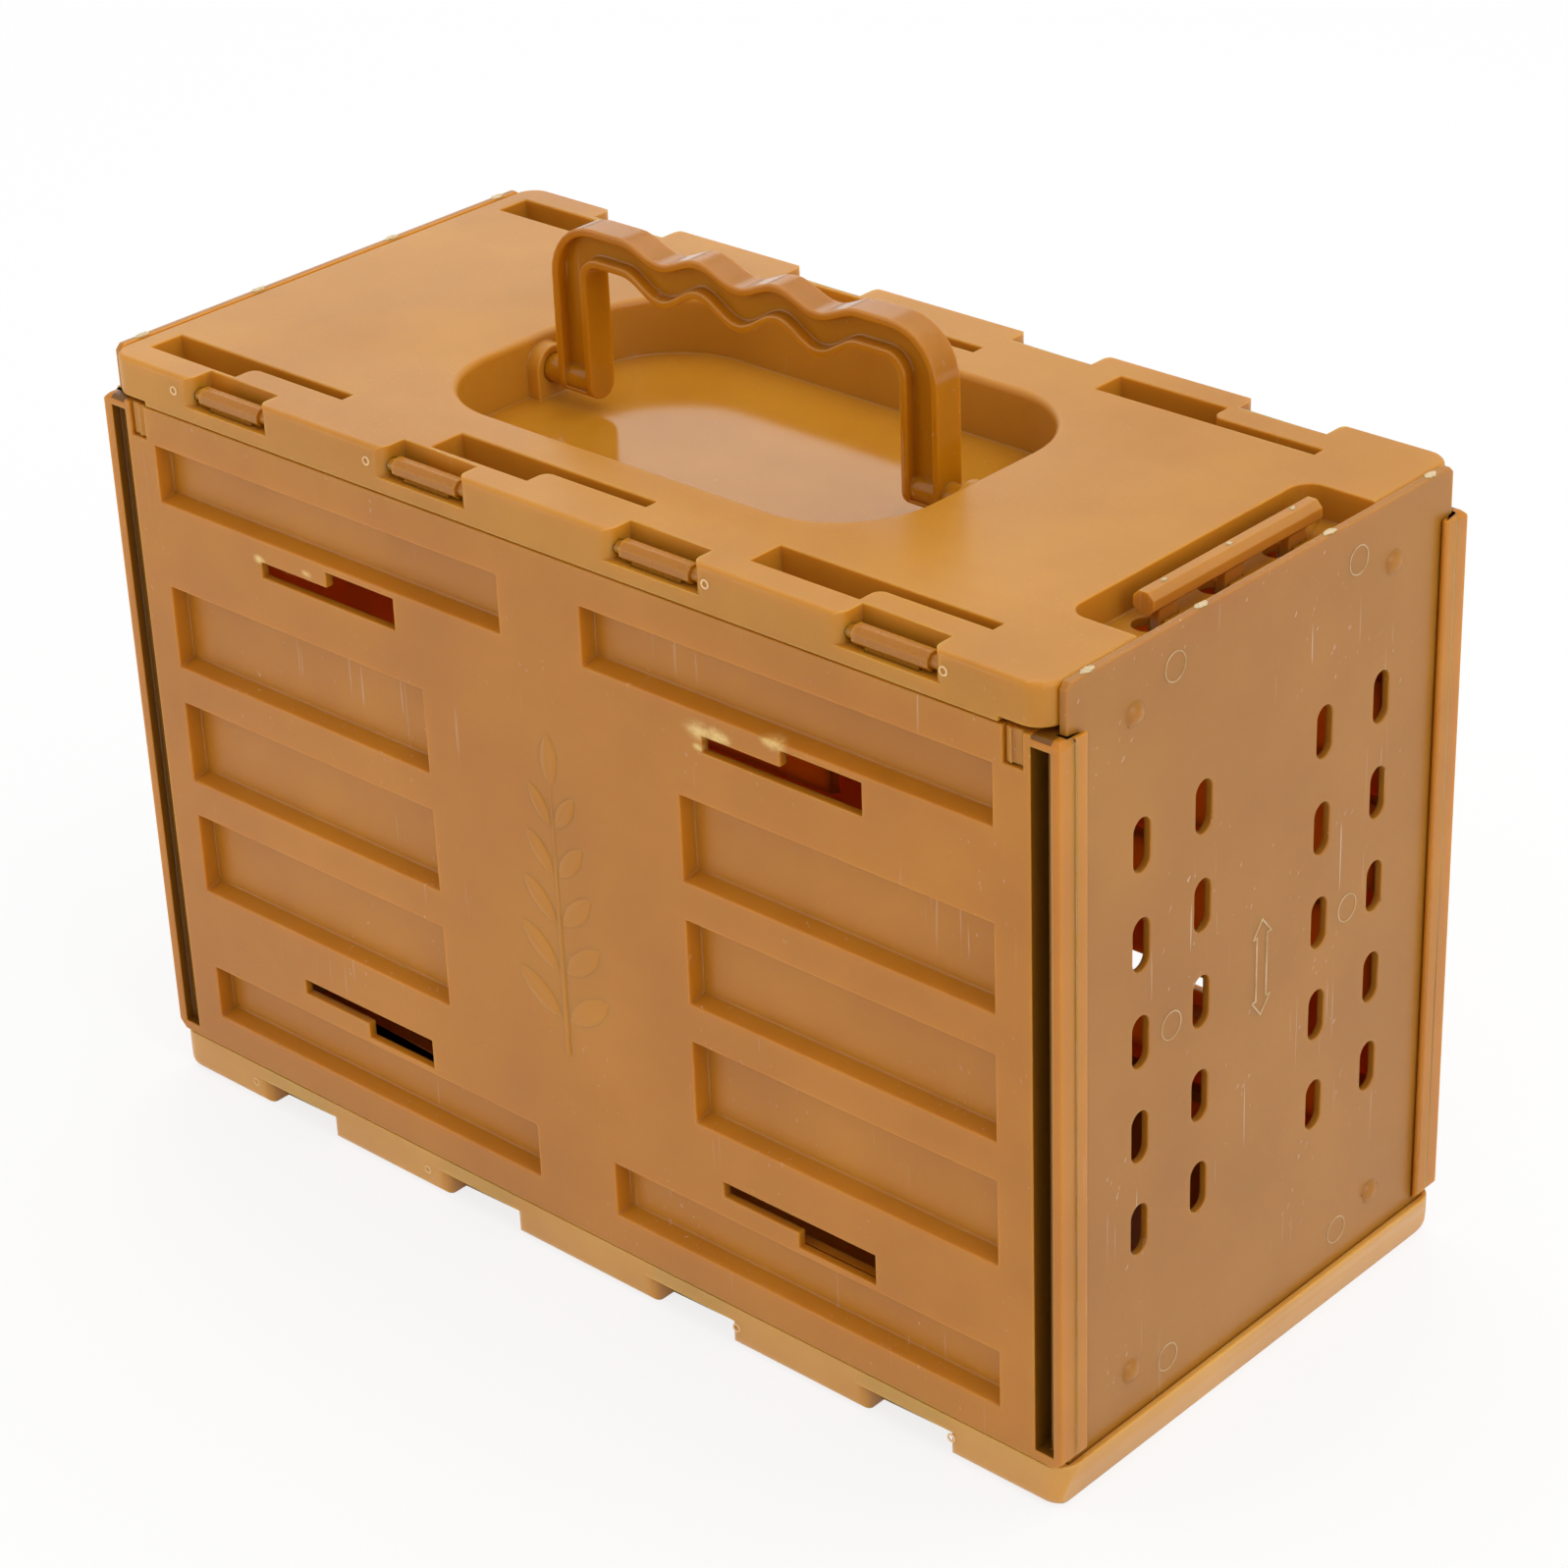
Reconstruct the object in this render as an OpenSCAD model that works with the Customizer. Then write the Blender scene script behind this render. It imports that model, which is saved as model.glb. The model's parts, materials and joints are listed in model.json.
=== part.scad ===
// Bird travel carrier: a folding plastic box with two lift-out end doors,
// a bail handle that lies in a well in the lid, and a keyed bar at one end.
// +Z is up, +X points to the end with the keyed bar, -Y is the front.
// The origin is the middle of the base's underside. All sizes are in millimetres.

/* [Overall] */
// Length over the end posts, along X
length = 290; // [282:1:320]
// Depth over the two long panels, along Y
depth = 140; // [134:1:160]
// Height from the table to the top of the lid
height = 198; // [190:1:230]
// Wall of the lid and the base
wall = 2.2; // [1.8:0.1:2.6]
// Gap between shells that are hooked together
shell_gap = 0.3; // [0.2:0.05:0.5]

/* [Base and lid] */
// Height of the base's side wall
base_h = 11; // [10:0.5:14]
// Thickness of the base's floor
floor_t = 2.4; // [1.8:0.1:3]
// Height of the lid's side wall
lid_h = 11; // [10.5:0.5:13]
// Thickness of the lid's top plate
plate_t = 2.4; // [1.8:0.1:3]
// Radius of the vertical corners
corner_r = 6; // [5:0.5:8]
// Rounding of the lid's top edge
lid_edge_r = 1.3; // [0.6:0.1:2]
// Rounding of the base's lower edge
base_edge_r = 3; // [1:0.1:3.2]
// How far the base's ends lean in at the foot
base_draft = 2.4; // [0:0.1:2.6]
// Upright land above the lean of the base's ends
base_land = 1; // [0.5:0.1:2]
// Lift of the lid's lower edge over the latches
latch_lift = 1.2; // [0.6:0.1:2]

/* [Hinge notches] */
// Width of a notch
notch_w = 24; // [20:0.5:26]
// Depth of a notch from the outer face
notch_d = 7; // [6.4:0.1:7.5]
// Centre of the inner notches from the middle
notch_inner_x = 35; // [30:0.5:40]
// Centre of the outer notches from the middle
notch_outer_x = 100.1; // [90:0.5:104]
// Rounding of the notch mouth
notch_mouth_r = 3; // [1:0.25:3.5]
// Height of the ledge that closes a notch at the parting line
ledge_h = 3.8; // [3.2:0.1:4.6]
// Width over the flats of a hinge knuckle
knuckle_w = 4.4; // [3.8:0.1:4.8]
// Knuckle's front flat in from the outer face
knuckle_set = 1.1; // [0.6:0.1:1.6]
// Gap between a knuckle and its ledge
knuckle_gap = 0.3; // [0.2:0.05:0.6]
// Free space at each end of a knuckle
knuckle_end_gap = 2; // [1:0.1:3]
// Thickness of the base's strip in front of its knuckles
strip_t = 0.8; // [0.6:0.1:0.9]
// Radius of the knuckle's pin stubs
stub_r = 1.5; // [1:0.1:1.7]
// Clearance round a pin stub
stub_clear = 0.1; // [0.05:0.01:0.2]
// Pin stub's end short of the wall that holds it
stub_inset = 0.4; // [0.2:0.1:0.8]
// Width of the arm under a knuckle
arm_w = 14; // [8:0.5:16]
// Thickness of the arm under a knuckle
arm_t = 2.8; // [2:0.1:3.2]
// Clearance round the arm in its ledge
arm_clear = 0.4; // [0.2:0.05:0.5]

/* [Lid slots] */
// Distance between the stepped slots along the lid
lid_slot_pitch = 95.6; // [90:0.2:98]
// Shift of the slot row from the middle
lid_slot_shift = -9.3; // [-12:0.1:0]
// Length of each half of a slot
lid_slot_half = 30; // [20:1:32]
// Width of the wide half
lid_slot_wide = 9.3; // [7:0.1:9.5]
// Width of the narrow half
lid_slot_narrow = 3.4; // [2:0.1:5]
// Depth of a slot
lid_slot_depth = 8.6; // [6:0.2:9]
// Rounding of the step between the halves
lid_slot_step_r = 2.5; // [1:0.1:4]
// Wall left between a slot and a hinge notch
lid_slot_skin = 1.2; // [0.8:0.1:1.6]
// Wall round a slot under the lid
lid_slot_wall = 1.6; // [1:0.1:2]

/* [Handle well] */
// Length of the well
well_l = 134; // [133:0.5:138]
// Width of the well
well_w = 82.6; // [82:0.2:88]
// Plan radius of the well's corners
well_r = 24.5; // [20:0.5:26]
// Depth of the well under the lid's top
well_depth = 14.5; // [14:0.5:18]
// Rounding of the well's rim
well_rim_r = 1.6; // [0.8:0.1:2.4]
// Thickness of the well's floor and wall
well_t = 2.2; // [1.6:0.1:3]

/* [Handle] */
// Width over the legs
handle_w = 116.4; // [110:0.2:118]
// Height of the grip's top above the pivot
handle_h = 39.3; // [37:0.1:39.5]
// Width of a leg, seen from the front
leg_w = 10.9; // [8:0.1:12]
// Thickness of the bail
handle_t = 8; // [7:0.1:8.6]
// Outer radius of the shoulders
shoulder_r = 13.4; // [11:0.1:16]
// Inner radius of the shoulders
armpit_r = 4; // [2:0.1:6]
// Height of the grip between the finger hollows
grip_h = 9.2; // [7:0.1:11]
// Distance between the finger hollows
finger_pitch = 23.7; // [20:0.1:24]
// Depth of the hollows in the top
top_wave = 3.4; // [1:0.1:4]
// Drop of the swells on the underside
under_wave = 4.9; // [1:0.1:6]
// Thickness of the rim round the side faces
rim_t = 2; // [1:0.1:2.4]
// Depth of the recess in each side face
web_recess = 2.9; // [1:0.1:3]
// Pivot line under the lid's top
pivot_drop = 7.5; // [7:0.1:8]
// Radius of the pivot stubs
pivot_r = 3.4; // [2.4:0.1:3.6]
// Running clearance round a pivot stub
pivot_clear = 0.08; // [0.05:0.01:0.1]
// Pivot stub's end short of the well's end
pivot_inset = 0.8; // [0.4:0.1:1.2]
// Gap between a pivot stub's end and its bore
pivot_end_gap = 0.25; // [0.15:0.05:0.4]
// Height of a pivot boss in from the well's end
boss_t = 3.8; // [3:0.1:5]
// Wall of a pivot boss round its bore
boss_wall = 2; // [1.4:0.1:2.2]

/* [Keyed bar] */
// Width of the bar's recess, along Y
recess_w = 81; // [76:0.5:86]
// Reach of the recess in from the lid's end
recess_d = 18.5; // [17:0.5:20]
// Depth of the recess
recess_depth = 8; // [7:0.1:8.6]
// Radius of the recess's inner corners
recess_r = 5; // [3:0.5:7]
// Length of the bar
bar_l = 58; // [52:1:62]
// Width over the bar's flats
bar_w = 5.4; // [4.5:0.1:6]
// Drop of the bar's top under the lid's top
bar_drop = 0.1; // [0:0.1:1]
// Bar centre from the lid's end
bar_set = 11.9; // [10:0.1:13]
// Distance between the bar's stems
stem_pitch = 22.2; // [18:0.1:24]
// Width of a stem, along the bar
stem_w = 6; // [4:0.1:7]
// Thickness of a stem
stem_t = 2.4; // [1.8:0.1:3]
// Radius of a stem's round head
head_r = 3.1; // [2.6:0.1:3.5]
// Thickness of a stem's head
head_t = 1.8; // [1:0.1:2.5]
// Clearance of the stems and heads in their keyholes
key_clear = 0.25; // [0.15:0.05:0.4]
// Way the bar slides between its locked and free places
key_travel = 5.2; // [4:0.1:7]

/* [Doors] */
// Thickness of a door
door_t = 2; // [1.6:0.1:2.5]
// Running gap on each face of a door
door_gap = 0.2; // [0.15:0.05:0.4]
// Running gap at each side edge of a door
door_side_gap = 0.4; // [0.3:0.05:0.8]
// Depth that a door drops behind the base's rim
door_drop = 2.9; // [1.5:0.1:4]
// Cut of a door's top corners
door_nick = 1.4; // [0.5:0.1:3]
// Width of an air slot
air_w = 5.65; // [4:0.05:7]
// Height of an air slot
air_h = 12.5; // [9:0.1:16]
// Distance between rows of air slots
air_pitch = 23.4; // [18:0.1:25]
// Rows of air slots
air_rows = 5; // [3:1:5]
// Inner columns of air slots from the middle
air_inner_y = 21.1; // [16:0.1:26]
// Outer columns of air slots from the middle
air_outer_y = 41.8; // [36:0.1:46]
// Middle of the air slots above the table
air_mid_z = 105.3; // [98:0.1:112]
// Radius of a domed grip nub
nub_r = 2.9; // [2:0.1:4]
// Height of a grip nub
nub_h = 1.4; // [0.6:0.1:1.6]
// Grip nubs from the door's middle
nub_y = 44.5; // [38:0.5:50]
// Grip nubs in from the door's top and foot
nub_z = 15; // [10:0.5:18]

/* [Long panels] */
// Thickness of a panel's plate
panel_t = 2.4; // [1.8:0.1:2.6]
// Depth of the pockets pressed in a panel
pocket_d = 4.3; // [3:0.1:5]
// Thickness of a pocket's floor and sides
pocket_t = 1.5; // [1:0.1:1.6]
// Height of the three middle pockets
pocket_h = 21.5; // [18:0.1:23]
// Height of the top and bottom pockets
end_pocket_h = 14.5; // [11:0.1:16]
// Distance between the middle pockets
pocket_pitch = 31.1; // [29:0.1:33]
// Top and bottom pockets from the panel's middle
end_pocket_z = 71.2; // [70:0.1:73]
// Start of the middle pockets from the panel's middle
pocket_start = 40; // [30:0.5:50]
// Start of the top and bottom pockets from the middle
end_pocket_start = 12.7; // [8:0.1:30]
// Plain band between the pockets and the corner slot
pocket_margin = 9.7; // [9:0.1:12]
// Rise of a pocket's lower ledge to its floor
ledge_rise = 1.5; // [0.5:0.1:3]
// Draft of a pocket's other sides
pocket_draft = 0.4; // [0.2:0.1:1]
// Depth of a panel's top and bottom rails
rail_d = 6; // [5:0.1:7]
// Height of a panel's top and bottom rails
rail_h = 3; // [2:0.1:5]
// Length of a stepped slot through a panel
vent_l = 45; // [36:0.5:50]
// Middle of the stepped slots from the panel's middle
vent_x = 70; // [66:0.5:76]
// Height of a stepped slot's wide half
vent_h = 7.8; // [6:0.1:8.2]
// Height of a stepped slot's narrow half
vent_narrow = 3.9; // [2:0.1:5]
// Land between a stepped slot and the end pocket
vent_land = 1.7; // [1.6:0.1:2.4]

/* [Corner posts] */
// Thickness of the lip outside a door
lip_t = 1.7; // [1.2:0.1:2.4]
// Reach of the lip from the panel's face
lip_reach = 8.5; // [7:0.1:10]
// Width of the lip's set-back outer band
lip_band = 4.6; // [3.8:0.1:5]
// Set-back of that band
lip_step = 0.35; // [0.2:0.05:0.6]
// Rounding of the post's outer corner
post_corner_r = 1.4; // [0.6:0.1:1.8]
// Chamfer round the post's top
post_top = 1.2; // [0.4:0.1:1.6]
// Thickness of the guide inside a door
guide_t = 1.5; // [1:0.1:2]
// Reach of the door guide from the panel's face
guide_reach = 10.5; // [9.5:0.1:13]
// Web between the corner slot and the door channel
web_t = 1; // [0.8:0.1:1.6]
// Depth of the door channel's bottom from the face
channel_d = 3.6; // [3:0.1:4]
// Width of the corner slot
post_slot_w = 5; // [4:0.1:6]
// Distance of the corner slot from the box's end
post_slot_set = 3; // [2.6:0.1:4]
// Solid end above and below the corner slot
post_slot_end = 2.5; // [1.5:0.1:4]
// Chamfer on the lip's lower outer corner
lip_chamfer = 2.5; // [1:0.1:4]
// Width of a latch tongue
latch_w = 5.2; // [4:0.1:6]
// Height of a latch tongue
latch_h = 8.4; // [6:0.1:10]
// Depth of the recess round a latch tongue
latch_d = 1.4; // [1:0.1:1.5]
// Lap of the latch recess over the post's wall
latch_lap = 0.4; // [0:0.1:1]
// Gap between a latch tongue and its recess
latch_gap = 0.4; // [0.2:0.1:0.8]
// Ridge of a latch tongue from its recess's inner side
latch_ridge_x = 2.3; // [1.5:0.1:3]
// Depth of that ridge under the panel's face
latch_ridge_d = 0.1; // [0:0.05:0.3]
// Depth of the tongue's flats beside the ridge
latch_flat_d = 0.8; // [0.4:0.1:0.9]
// Start of the lid's raised lower edge before the latch
latch_lead = 1; // [0.5:0.1:2]

/* [Hidden] */
$fn = 48;
eps = 0.01;
cut = 1;

shell_colour = "#c08345";
panel_colour = "#b97a3c";
door_colour = "#bd8044";
handle_colour = "#9a5a22";

half_l = length / 2;
half_d = depth / 2;
lid_z = height - lid_h;
panel_z0 = base_h + shell_gap;
panel_z1 = lid_z - shell_gap;
panel_mid = (panel_z0 + panel_z1) / 2;

// The door channel, from the box's end inwards
channel_out = half_l - lip_t;
channel_in = channel_out - door_t - 2 * door_gap;
door_in = channel_in + door_gap;
door_half = half_d - channel_d - door_side_gap;
groove_z = base_h - door_drop - door_gap / 2;
door_z = base_h - door_drop;
lid_half = channel_in;

// The corner slot beside the door channel
slot_x1 = half_l - post_slot_set;
slot_x0 = slot_x1 - post_slot_w;
slot_deep_x = channel_in - guide_t;
post_x0 = slot_x0 - wall;
post_x1 = half_l - lip_step;
latch_x1 = post_x0 + latch_lap;
latch_x0 = latch_x1 - latch_w;

notch_xs = [-notch_outer_x, -notch_inner_x, notch_inner_x, notch_outer_x];
knuckle_y = half_d - knuckle_set - knuckle_w / 2;
lid_rise = ledge_h + knuckle_gap + knuckle_w / 2;
base_rise = knuckle_gap + knuckle_w / 2;
knuckle_l = notch_w - 2 * knuckle_end_gap;
stub_l = notch_w + 2 * wall - 2 * stub_inset;

lid_slot_in = half_d - notch_d - lid_slot_skin - lid_slot_wide;
pivot_z = height - pivot_drop;
recess_floor_z = height - recess_depth;
bar_x = lid_half - bar_set;
bar_z = height - bar_drop - bar_w / 2;
keyhole_r = norm([stem_w, stem_t]) / 2 + key_clear;

pocket_end = slot_x0 - pocket_margin;
vent_top = end_pocket_z - end_pocket_h / 2 - vent_land;

module both_x() {
    children();
    mirror([1, 0, 0]) children();
}

module both_y() {
    children();
    mirror([0, 1, 0]) children();
}

// Flat rounded rectangle, centred
module rounded_rect(l, w, r) {
    square([l - 2 * r, w], center = true);
    square([l, w - 2 * r], center = true);
    for (x = [-1, 1], y = [-1, 1])
        translate([x * (l / 2 - r), y * (w / 2 - r)]) circle(r);
}

// Half section of a slab whose upper outer edge is rounded, from the axis out
module soft_half(w, h, e) {
    square([w, h - e]);
    square([w - e, h]);
    translate([w - e, h - e]) circle(e);
}

// Slab with upright corners of radius r and a top edge of radius e
module soft_slab(l, w, h, r, e) {
    both_y()
        rotate([90, 0, 90]) linear_extrude(l - 2 * r, center = true) soft_half(w / 2, h, e);
    both_x()
        rotate([90, 0, 0]) linear_extrude(w - 2 * r, center = true) soft_half(l / 2, h, e);
    for (x = [-1, 1], y = [-1, 1])
        translate([x * (l / 2 - r), y * (w / 2 - r), 0]) rotate_extrude() soft_half(r, h, e);
}

// Half section of a pocket from its axis out: the rim rolls over outwards at z = 0
module pocket_half(w, d, e) {
    translate([0, -d]) square([w, d + cut]);
    difference() {
        translate([0, -e]) square([w + e, e + cut]);
        translate([w + e, -e]) circle(e);
    }
}

// Cutter for a pocket with rounded plan corners, its rim at z = 0
module soft_pocket(l, w, r, d, e) {
    both_y()
        rotate([90, 0, 90]) linear_extrude(l - 2 * r, center = true) pocket_half(w / 2, d, e);
    both_x()
        rotate([90, 0, 0]) linear_extrude(w - 2 * r, center = true) pocket_half(l / 2, d, e);
    for (x = [-1, 1], y = [-1, 1])
        translate([x * (l / 2 - r), y * (w / 2 - r), 0]) rotate_extrude() pocket_half(r, d, e);
}

// Plan of a hinge notch: the outer face is the X axis and the notch runs to +Y
module notch_plan() {
    translate([-notch_w / 2, -cut]) square([notch_w, notch_d + cut]);
    difference() {
        translate([-notch_w / 2 - notch_mouth_r, -cut])
            square([notch_w + 2 * notch_mouth_r, notch_mouth_r + cut]);
        for (s = [-1, 1])
            translate([s * (notch_w / 2 + notch_mouth_r), notch_mouth_r]) circle(notch_mouth_r);
    }
}

// Places its children at every notch of the front and the back edge,
// with the outer face at y = 0 and the inside of the box towards +Y
module at_notches() {
    both_y()
        for (x = notch_xs) translate([x, -half_d, 0]) children();
}

// Solid block that a notch is cut from, of height h
module notch_block(h) {
    translate([-notch_w / 2 - 2 * wall, wall / 2, 0])
        cube([notch_w + 4 * wall, notch_d + wall / 2, h]);
}

// What a notch and its pin sockets take away, for a shell whose parting face is
// z = 0 and whose outer face is z = h, with the pins at z = rise
module notch_cut(h, rise) {
    translate([0, 0, ledge_h]) linear_extrude(h) notch_plan();
    translate([0, half_d - knuckle_y, rise]) rotate([0, 90, 0])
        cylinder(r = stub_r + stub_clear, h = stub_l + 2 * stub_clear, center = true);
}

// Slot of an arm through the lid's ledge
module arm_slot() {
    translate([-arm_w / 2 - arm_clear, half_d - knuckle_y - arm_t / 2 - arm_clear, -cut])
        cube([arm_w + 2 * arm_clear, arm_t + 2 * arm_clear, ledge_h + 2 * cut]);
}

// Room for a knuckle behind the base's strip
module strip_room() {
    translate([-notch_w / 2, strip_t, -cut]) cube([notch_w, notch_d - strip_t, ledge_h + 2 * cut]);
}

// Hinge knuckle of a panel: a faceted barrel with pin stubs on an arm that
// rises from z = 0, the panel's edge, to the pins at z = rise past the gap
module knuckle(rise) {
    h = shell_gap + rise;
    translate([0, half_d - knuckle_y, h]) rotate([0, 90, 0]) {
        cylinder(r = stub_r, h = stub_l, center = true);
        rotate([0, 0, 22.5])
            cylinder(d = knuckle_w / cos(22.5), h = knuckle_l, center = true, $fn = 8);
    }
    translate([-arm_w / 2, half_d - knuckle_y - arm_t / 2, -rail_h / 2])
        cube([arm_w, arm_t, h + rail_h / 2]);
}

// Stepped slot of the lid, seen from above: the wide half lies towards -X
// and the straight inner edge is the X axis
module lid_slot_plan(grow = 0) {
    translate([-lid_slot_half - grow, -grow])
        square([lid_slot_half + 2 * grow, lid_slot_wide + 2 * grow]);
    translate([-grow, -grow]) square([lid_slot_half + 2 * grow, lid_slot_narrow + 2 * grow]);
    if (grow == 0)
        difference() {
            translate([-eps, lid_slot_narrow - eps]) square(lid_slot_step_r);
            translate([lid_slot_step_r, lid_slot_narrow + lid_slot_step_r]) circle(lid_slot_step_r);
        }
}

module at_lid_slots() {
    for (i = [-1:1], side = [0, 1])
        translate([lid_slot_shift + i * lid_slot_pitch, 0, 0])
            mirror([0, 1 - side, 0]) translate([0, lid_slot_in, 0]) children();
}

// Recess at the lid's +X end, in plan
module recess_plan(grow = 0) {
    r = recess_r + grow;
    translate([lid_half - recess_d - grow + r, -recess_w / 2 - grow])
        square([recess_d + cut, recess_w + 2 * grow]);
    translate([lid_half - recess_d - grow, -recess_w / 2 - grow + r])
        square([recess_d, recess_w + 2 * grow - 2 * r]);
    for (s = [-1, 1])
        translate([lid_half - recess_d - grow + r, s * (recess_w / 2 + grow - r)]) circle(r);
}

// Keyhole of a stem: a round hole that lets the head through and a slot
// that holds the stem once the bar has slid to +Y
module keyhole_plan() {
    circle(keyhole_r);
    translate([-stem_t / 2 - key_clear, 0])
        square([stem_t + 2 * key_clear, key_travel + stem_w / 2 + key_clear]);
}

// Boss in the +X end of the well that holds a pivot stub, down to the well's floor
module pivot_boss() {
    r = pivot_r + pivot_clear + boss_wall;
    translate([well_l / 2 - boss_t, 0, 0]) {
        translate([0, 0, pivot_z]) rotate([0, 90, 0]) cylinder(r = r, h = boss_t + well_t / 2);
        translate([0, -r, height - well_depth - well_t / 2])
            cube([boss_t + well_t / 2, 2 * r, well_depth + well_t / 2 - pivot_drop]);
    }
}

module lid() {
    color(shell_colour) difference() {
        union() {
            difference() {
                translate([0, 0, lid_z])
                    soft_slab(2 * lid_half, depth, lid_h, corner_r, lid_edge_r);
                translate([0, 0, lid_z - cut]) linear_extrude(lid_h - plate_t + cut)
                    rounded_rect(2 * (lid_half - wall), depth - 2 * wall, corner_r - wall);
            }
            translate([0, 0, lid_z]) at_notches() notch_block(lid_h - plate_t / 2);
            translate([0, 0, height - lid_slot_depth - lid_slot_wall])
                linear_extrude(lid_slot_depth + lid_slot_wall - plate_t / 2)
                    at_lid_slots() lid_slot_plan(lid_slot_wall);
            translate([0, 0, recess_floor_z - wall])
                linear_extrude(recess_depth + wall - plate_t / 2)
                    intersection() {
                        recess_plan(wall);
                        square([2 * lid_half, recess_w + 2 * wall], center = true);
                    }
            translate([0, 0, height - well_depth - well_t])
                linear_extrude(well_depth + well_t - plate_t / 2)
                    rounded_rect(well_l + 2 * well_t, well_w + 2 * well_t, well_r + well_t);
        }
        translate([0, 0, lid_z]) at_notches() {
            notch_cut(lid_h, lid_rise);
            arm_slot();
        }
        translate([0, 0, height - lid_slot_depth]) linear_extrude(lid_slot_depth + cut)
            at_lid_slots() lid_slot_plan();
        translate([0, 0, recess_floor_z]) linear_extrude(recess_depth + cut) recess_plan();
        for (i = [-1:1])
            translate([bar_x, i * stem_pitch, recess_floor_z - wall - cut])
                linear_extrude(wall + 2 * cut) keyhole_plan();
        translate([0, 0, height]) soft_pocket(well_l, well_w, well_r, well_depth, well_rim_r);
        both_x()
            translate([latch_x0 - latch_lead, -half_d - cut, lid_z - cut])
                cube([length, depth + 2 * cut, latch_lift + cut]);
    }
    color(shell_colour) both_x() difference() {
        pivot_boss();
        translate([0, 0, pivot_z]) rotate([0, 90, 0])
            cylinder(r = pivot_r + pivot_clear, h = well_l / 2 - pivot_inset + pivot_end_gap);
    }
}

module base() {
    lean = base_draft / (base_h - base_land);
    color(shell_colour) difference() {
        union() {
            difference() {
                translate([0, 0, base_h]) mirror([0, 0, 1])
                    soft_slab(length, depth, base_h, corner_r, base_edge_r);
                translate([0, 0, floor_t]) linear_extrude(base_h)
                    rounded_rect(2 * (channel_in - wall), depth - 2 * wall, corner_r - wall);
            }
            translate([0, 0, base_h]) mirror([0, 0, 1]) at_notches() notch_block(base_h - floor_t / 2);
        }
        translate([0, 0, base_h]) mirror([0, 0, 1]) at_notches() {
            notch_cut(base_h, base_rise);
            strip_room();
        }
        both_x() rotate([90, 0, 0]) linear_extrude(depth + 2 * cut, center = true)
            polygon([
                [half_l - base_draft - lean * cut, -cut], [half_l + lean * cut, base_h - base_land + cut],
                [length, base_h - base_land + cut], [length, -cut]
            ]);
        both_x()
            translate([channel_in, -half_d + channel_d, groove_z])
                cube([channel_out - channel_in, depth - 2 * channel_d, base_h]);
    }
}

// Plan of a corner post at the +X end: y is the distance in from the panel's face
module post_plan() {
    translate([post_x0, 0]) square([slot_x0 - post_x0, guide_reach]);
    translate([post_x0, guide_reach - guide_t]) square([channel_in - post_x0, guide_t]);
    translate([slot_deep_x, channel_d - web_t])
        square([guide_t, guide_reach - channel_d + web_t]);
    translate([slot_deep_x, channel_d - web_t]) square([post_x1 - slot_deep_x, web_t]);
    translate([slot_x1, 0]) square([post_x1 - slot_x1, channel_d]);
    translate([channel_out, 0]) square([lip_t - lip_step, lip_reach - lip_t / 2]);
    translate([channel_out, lip_band]) square([lip_t, lip_reach - lip_t / 2 - lip_band]);
    translate([channel_out + lip_t / 2, lip_reach - lip_t / 2]) circle(lip_t / 2);
}

// What the rounding of a post's outer corner takes away, in plan
module post_corner() {
    translate([post_x1 - post_corner_r, post_corner_r]) difference() {
        translate([0, -post_corner_r - cut]) square(post_corner_r + cut);
        circle(post_corner_r);
    }
}

module post() {
    panel_h = panel_z1 - panel_z0;
    difference() {
        union() {
            translate([0, 0, panel_z0]) linear_extrude(panel_h) post_plan();
            for (z = [panel_z0, panel_z1 - post_slot_end]) {
                translate([post_x0, 0, z]) cube([channel_in - post_x0, guide_reach, post_slot_end]);
                translate([post_x0, 0, z]) cube([post_x1 - post_x0, channel_d, post_slot_end]);
            }
        }
        translate([0, 0, panel_z0 - cut]) linear_extrude(panel_h + 2 * cut) post_corner();
        translate([(latch_x1 + length) / 2, 0, panel_z1]) rotate([45, 0, 0])
            cube([length - latch_x1, post_top * sqrt(2), post_top * sqrt(2)], center = true);
        translate([post_x1, (lip_band - cut) / 2, panel_z1]) rotate([0, 45, 0])
            cube([post_top * sqrt(2), lip_band + cut, post_top * sqrt(2)], center = true);
        translate([half_l, -cut, panel_z0]) rotate([0, 45, 0])
            cube([lip_chamfer * sqrt(2), 3 * lip_reach, lip_chamfer * sqrt(2)], center = true);
    }
}

// A pocket between x0 and x1, z0 and z1 at the panel's face, to depth d, with
// its lower ledge and its sides drawn in; the face is the XZ plane
module pocket_form(x0, x1, z0, z1, d, lead) {
    intersection() {
        rotate([90, 0, 90]) linear_extrude(x1 + cut)
            polygon([
                [-lead, z0], [0, z0], [d, z0 + ledge_rise],
                [d, z1 - pocket_draft], [0, z1], [-lead, z1]
            ]);
        translate([0, 0, z0 - cut]) linear_extrude(z1 - z0 + 2 * cut)
            polygon([
                [x0, -lead], [x0, 0], [x0 + pocket_draft, d],
                [x1 - pocket_draft, d], [x1, 0], [x1, -lead]
            ]);
    }
}

// Every pocket of a panel, with its sides moved out by grow and its floor by deep
module pockets(grow, deep, lead) {
    rows = [
        [-end_pocket_z, end_pocket_h, end_pocket_start],
        [-pocket_pitch, pocket_h, pocket_start],
        [0, pocket_h, pocket_start],
        [pocket_pitch, pocket_h, pocket_start],
        [end_pocket_z, end_pocket_h, end_pocket_start]
    ];
    both_x() for (row = rows)
        pocket_form(
            row[2] - grow, pocket_end + grow,
            panel_mid + row[0] - row[1] / 2 - grow, panel_mid + row[0] + row[1] / 2 + grow,
            pocket_d + deep, lead
        );
}

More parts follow.
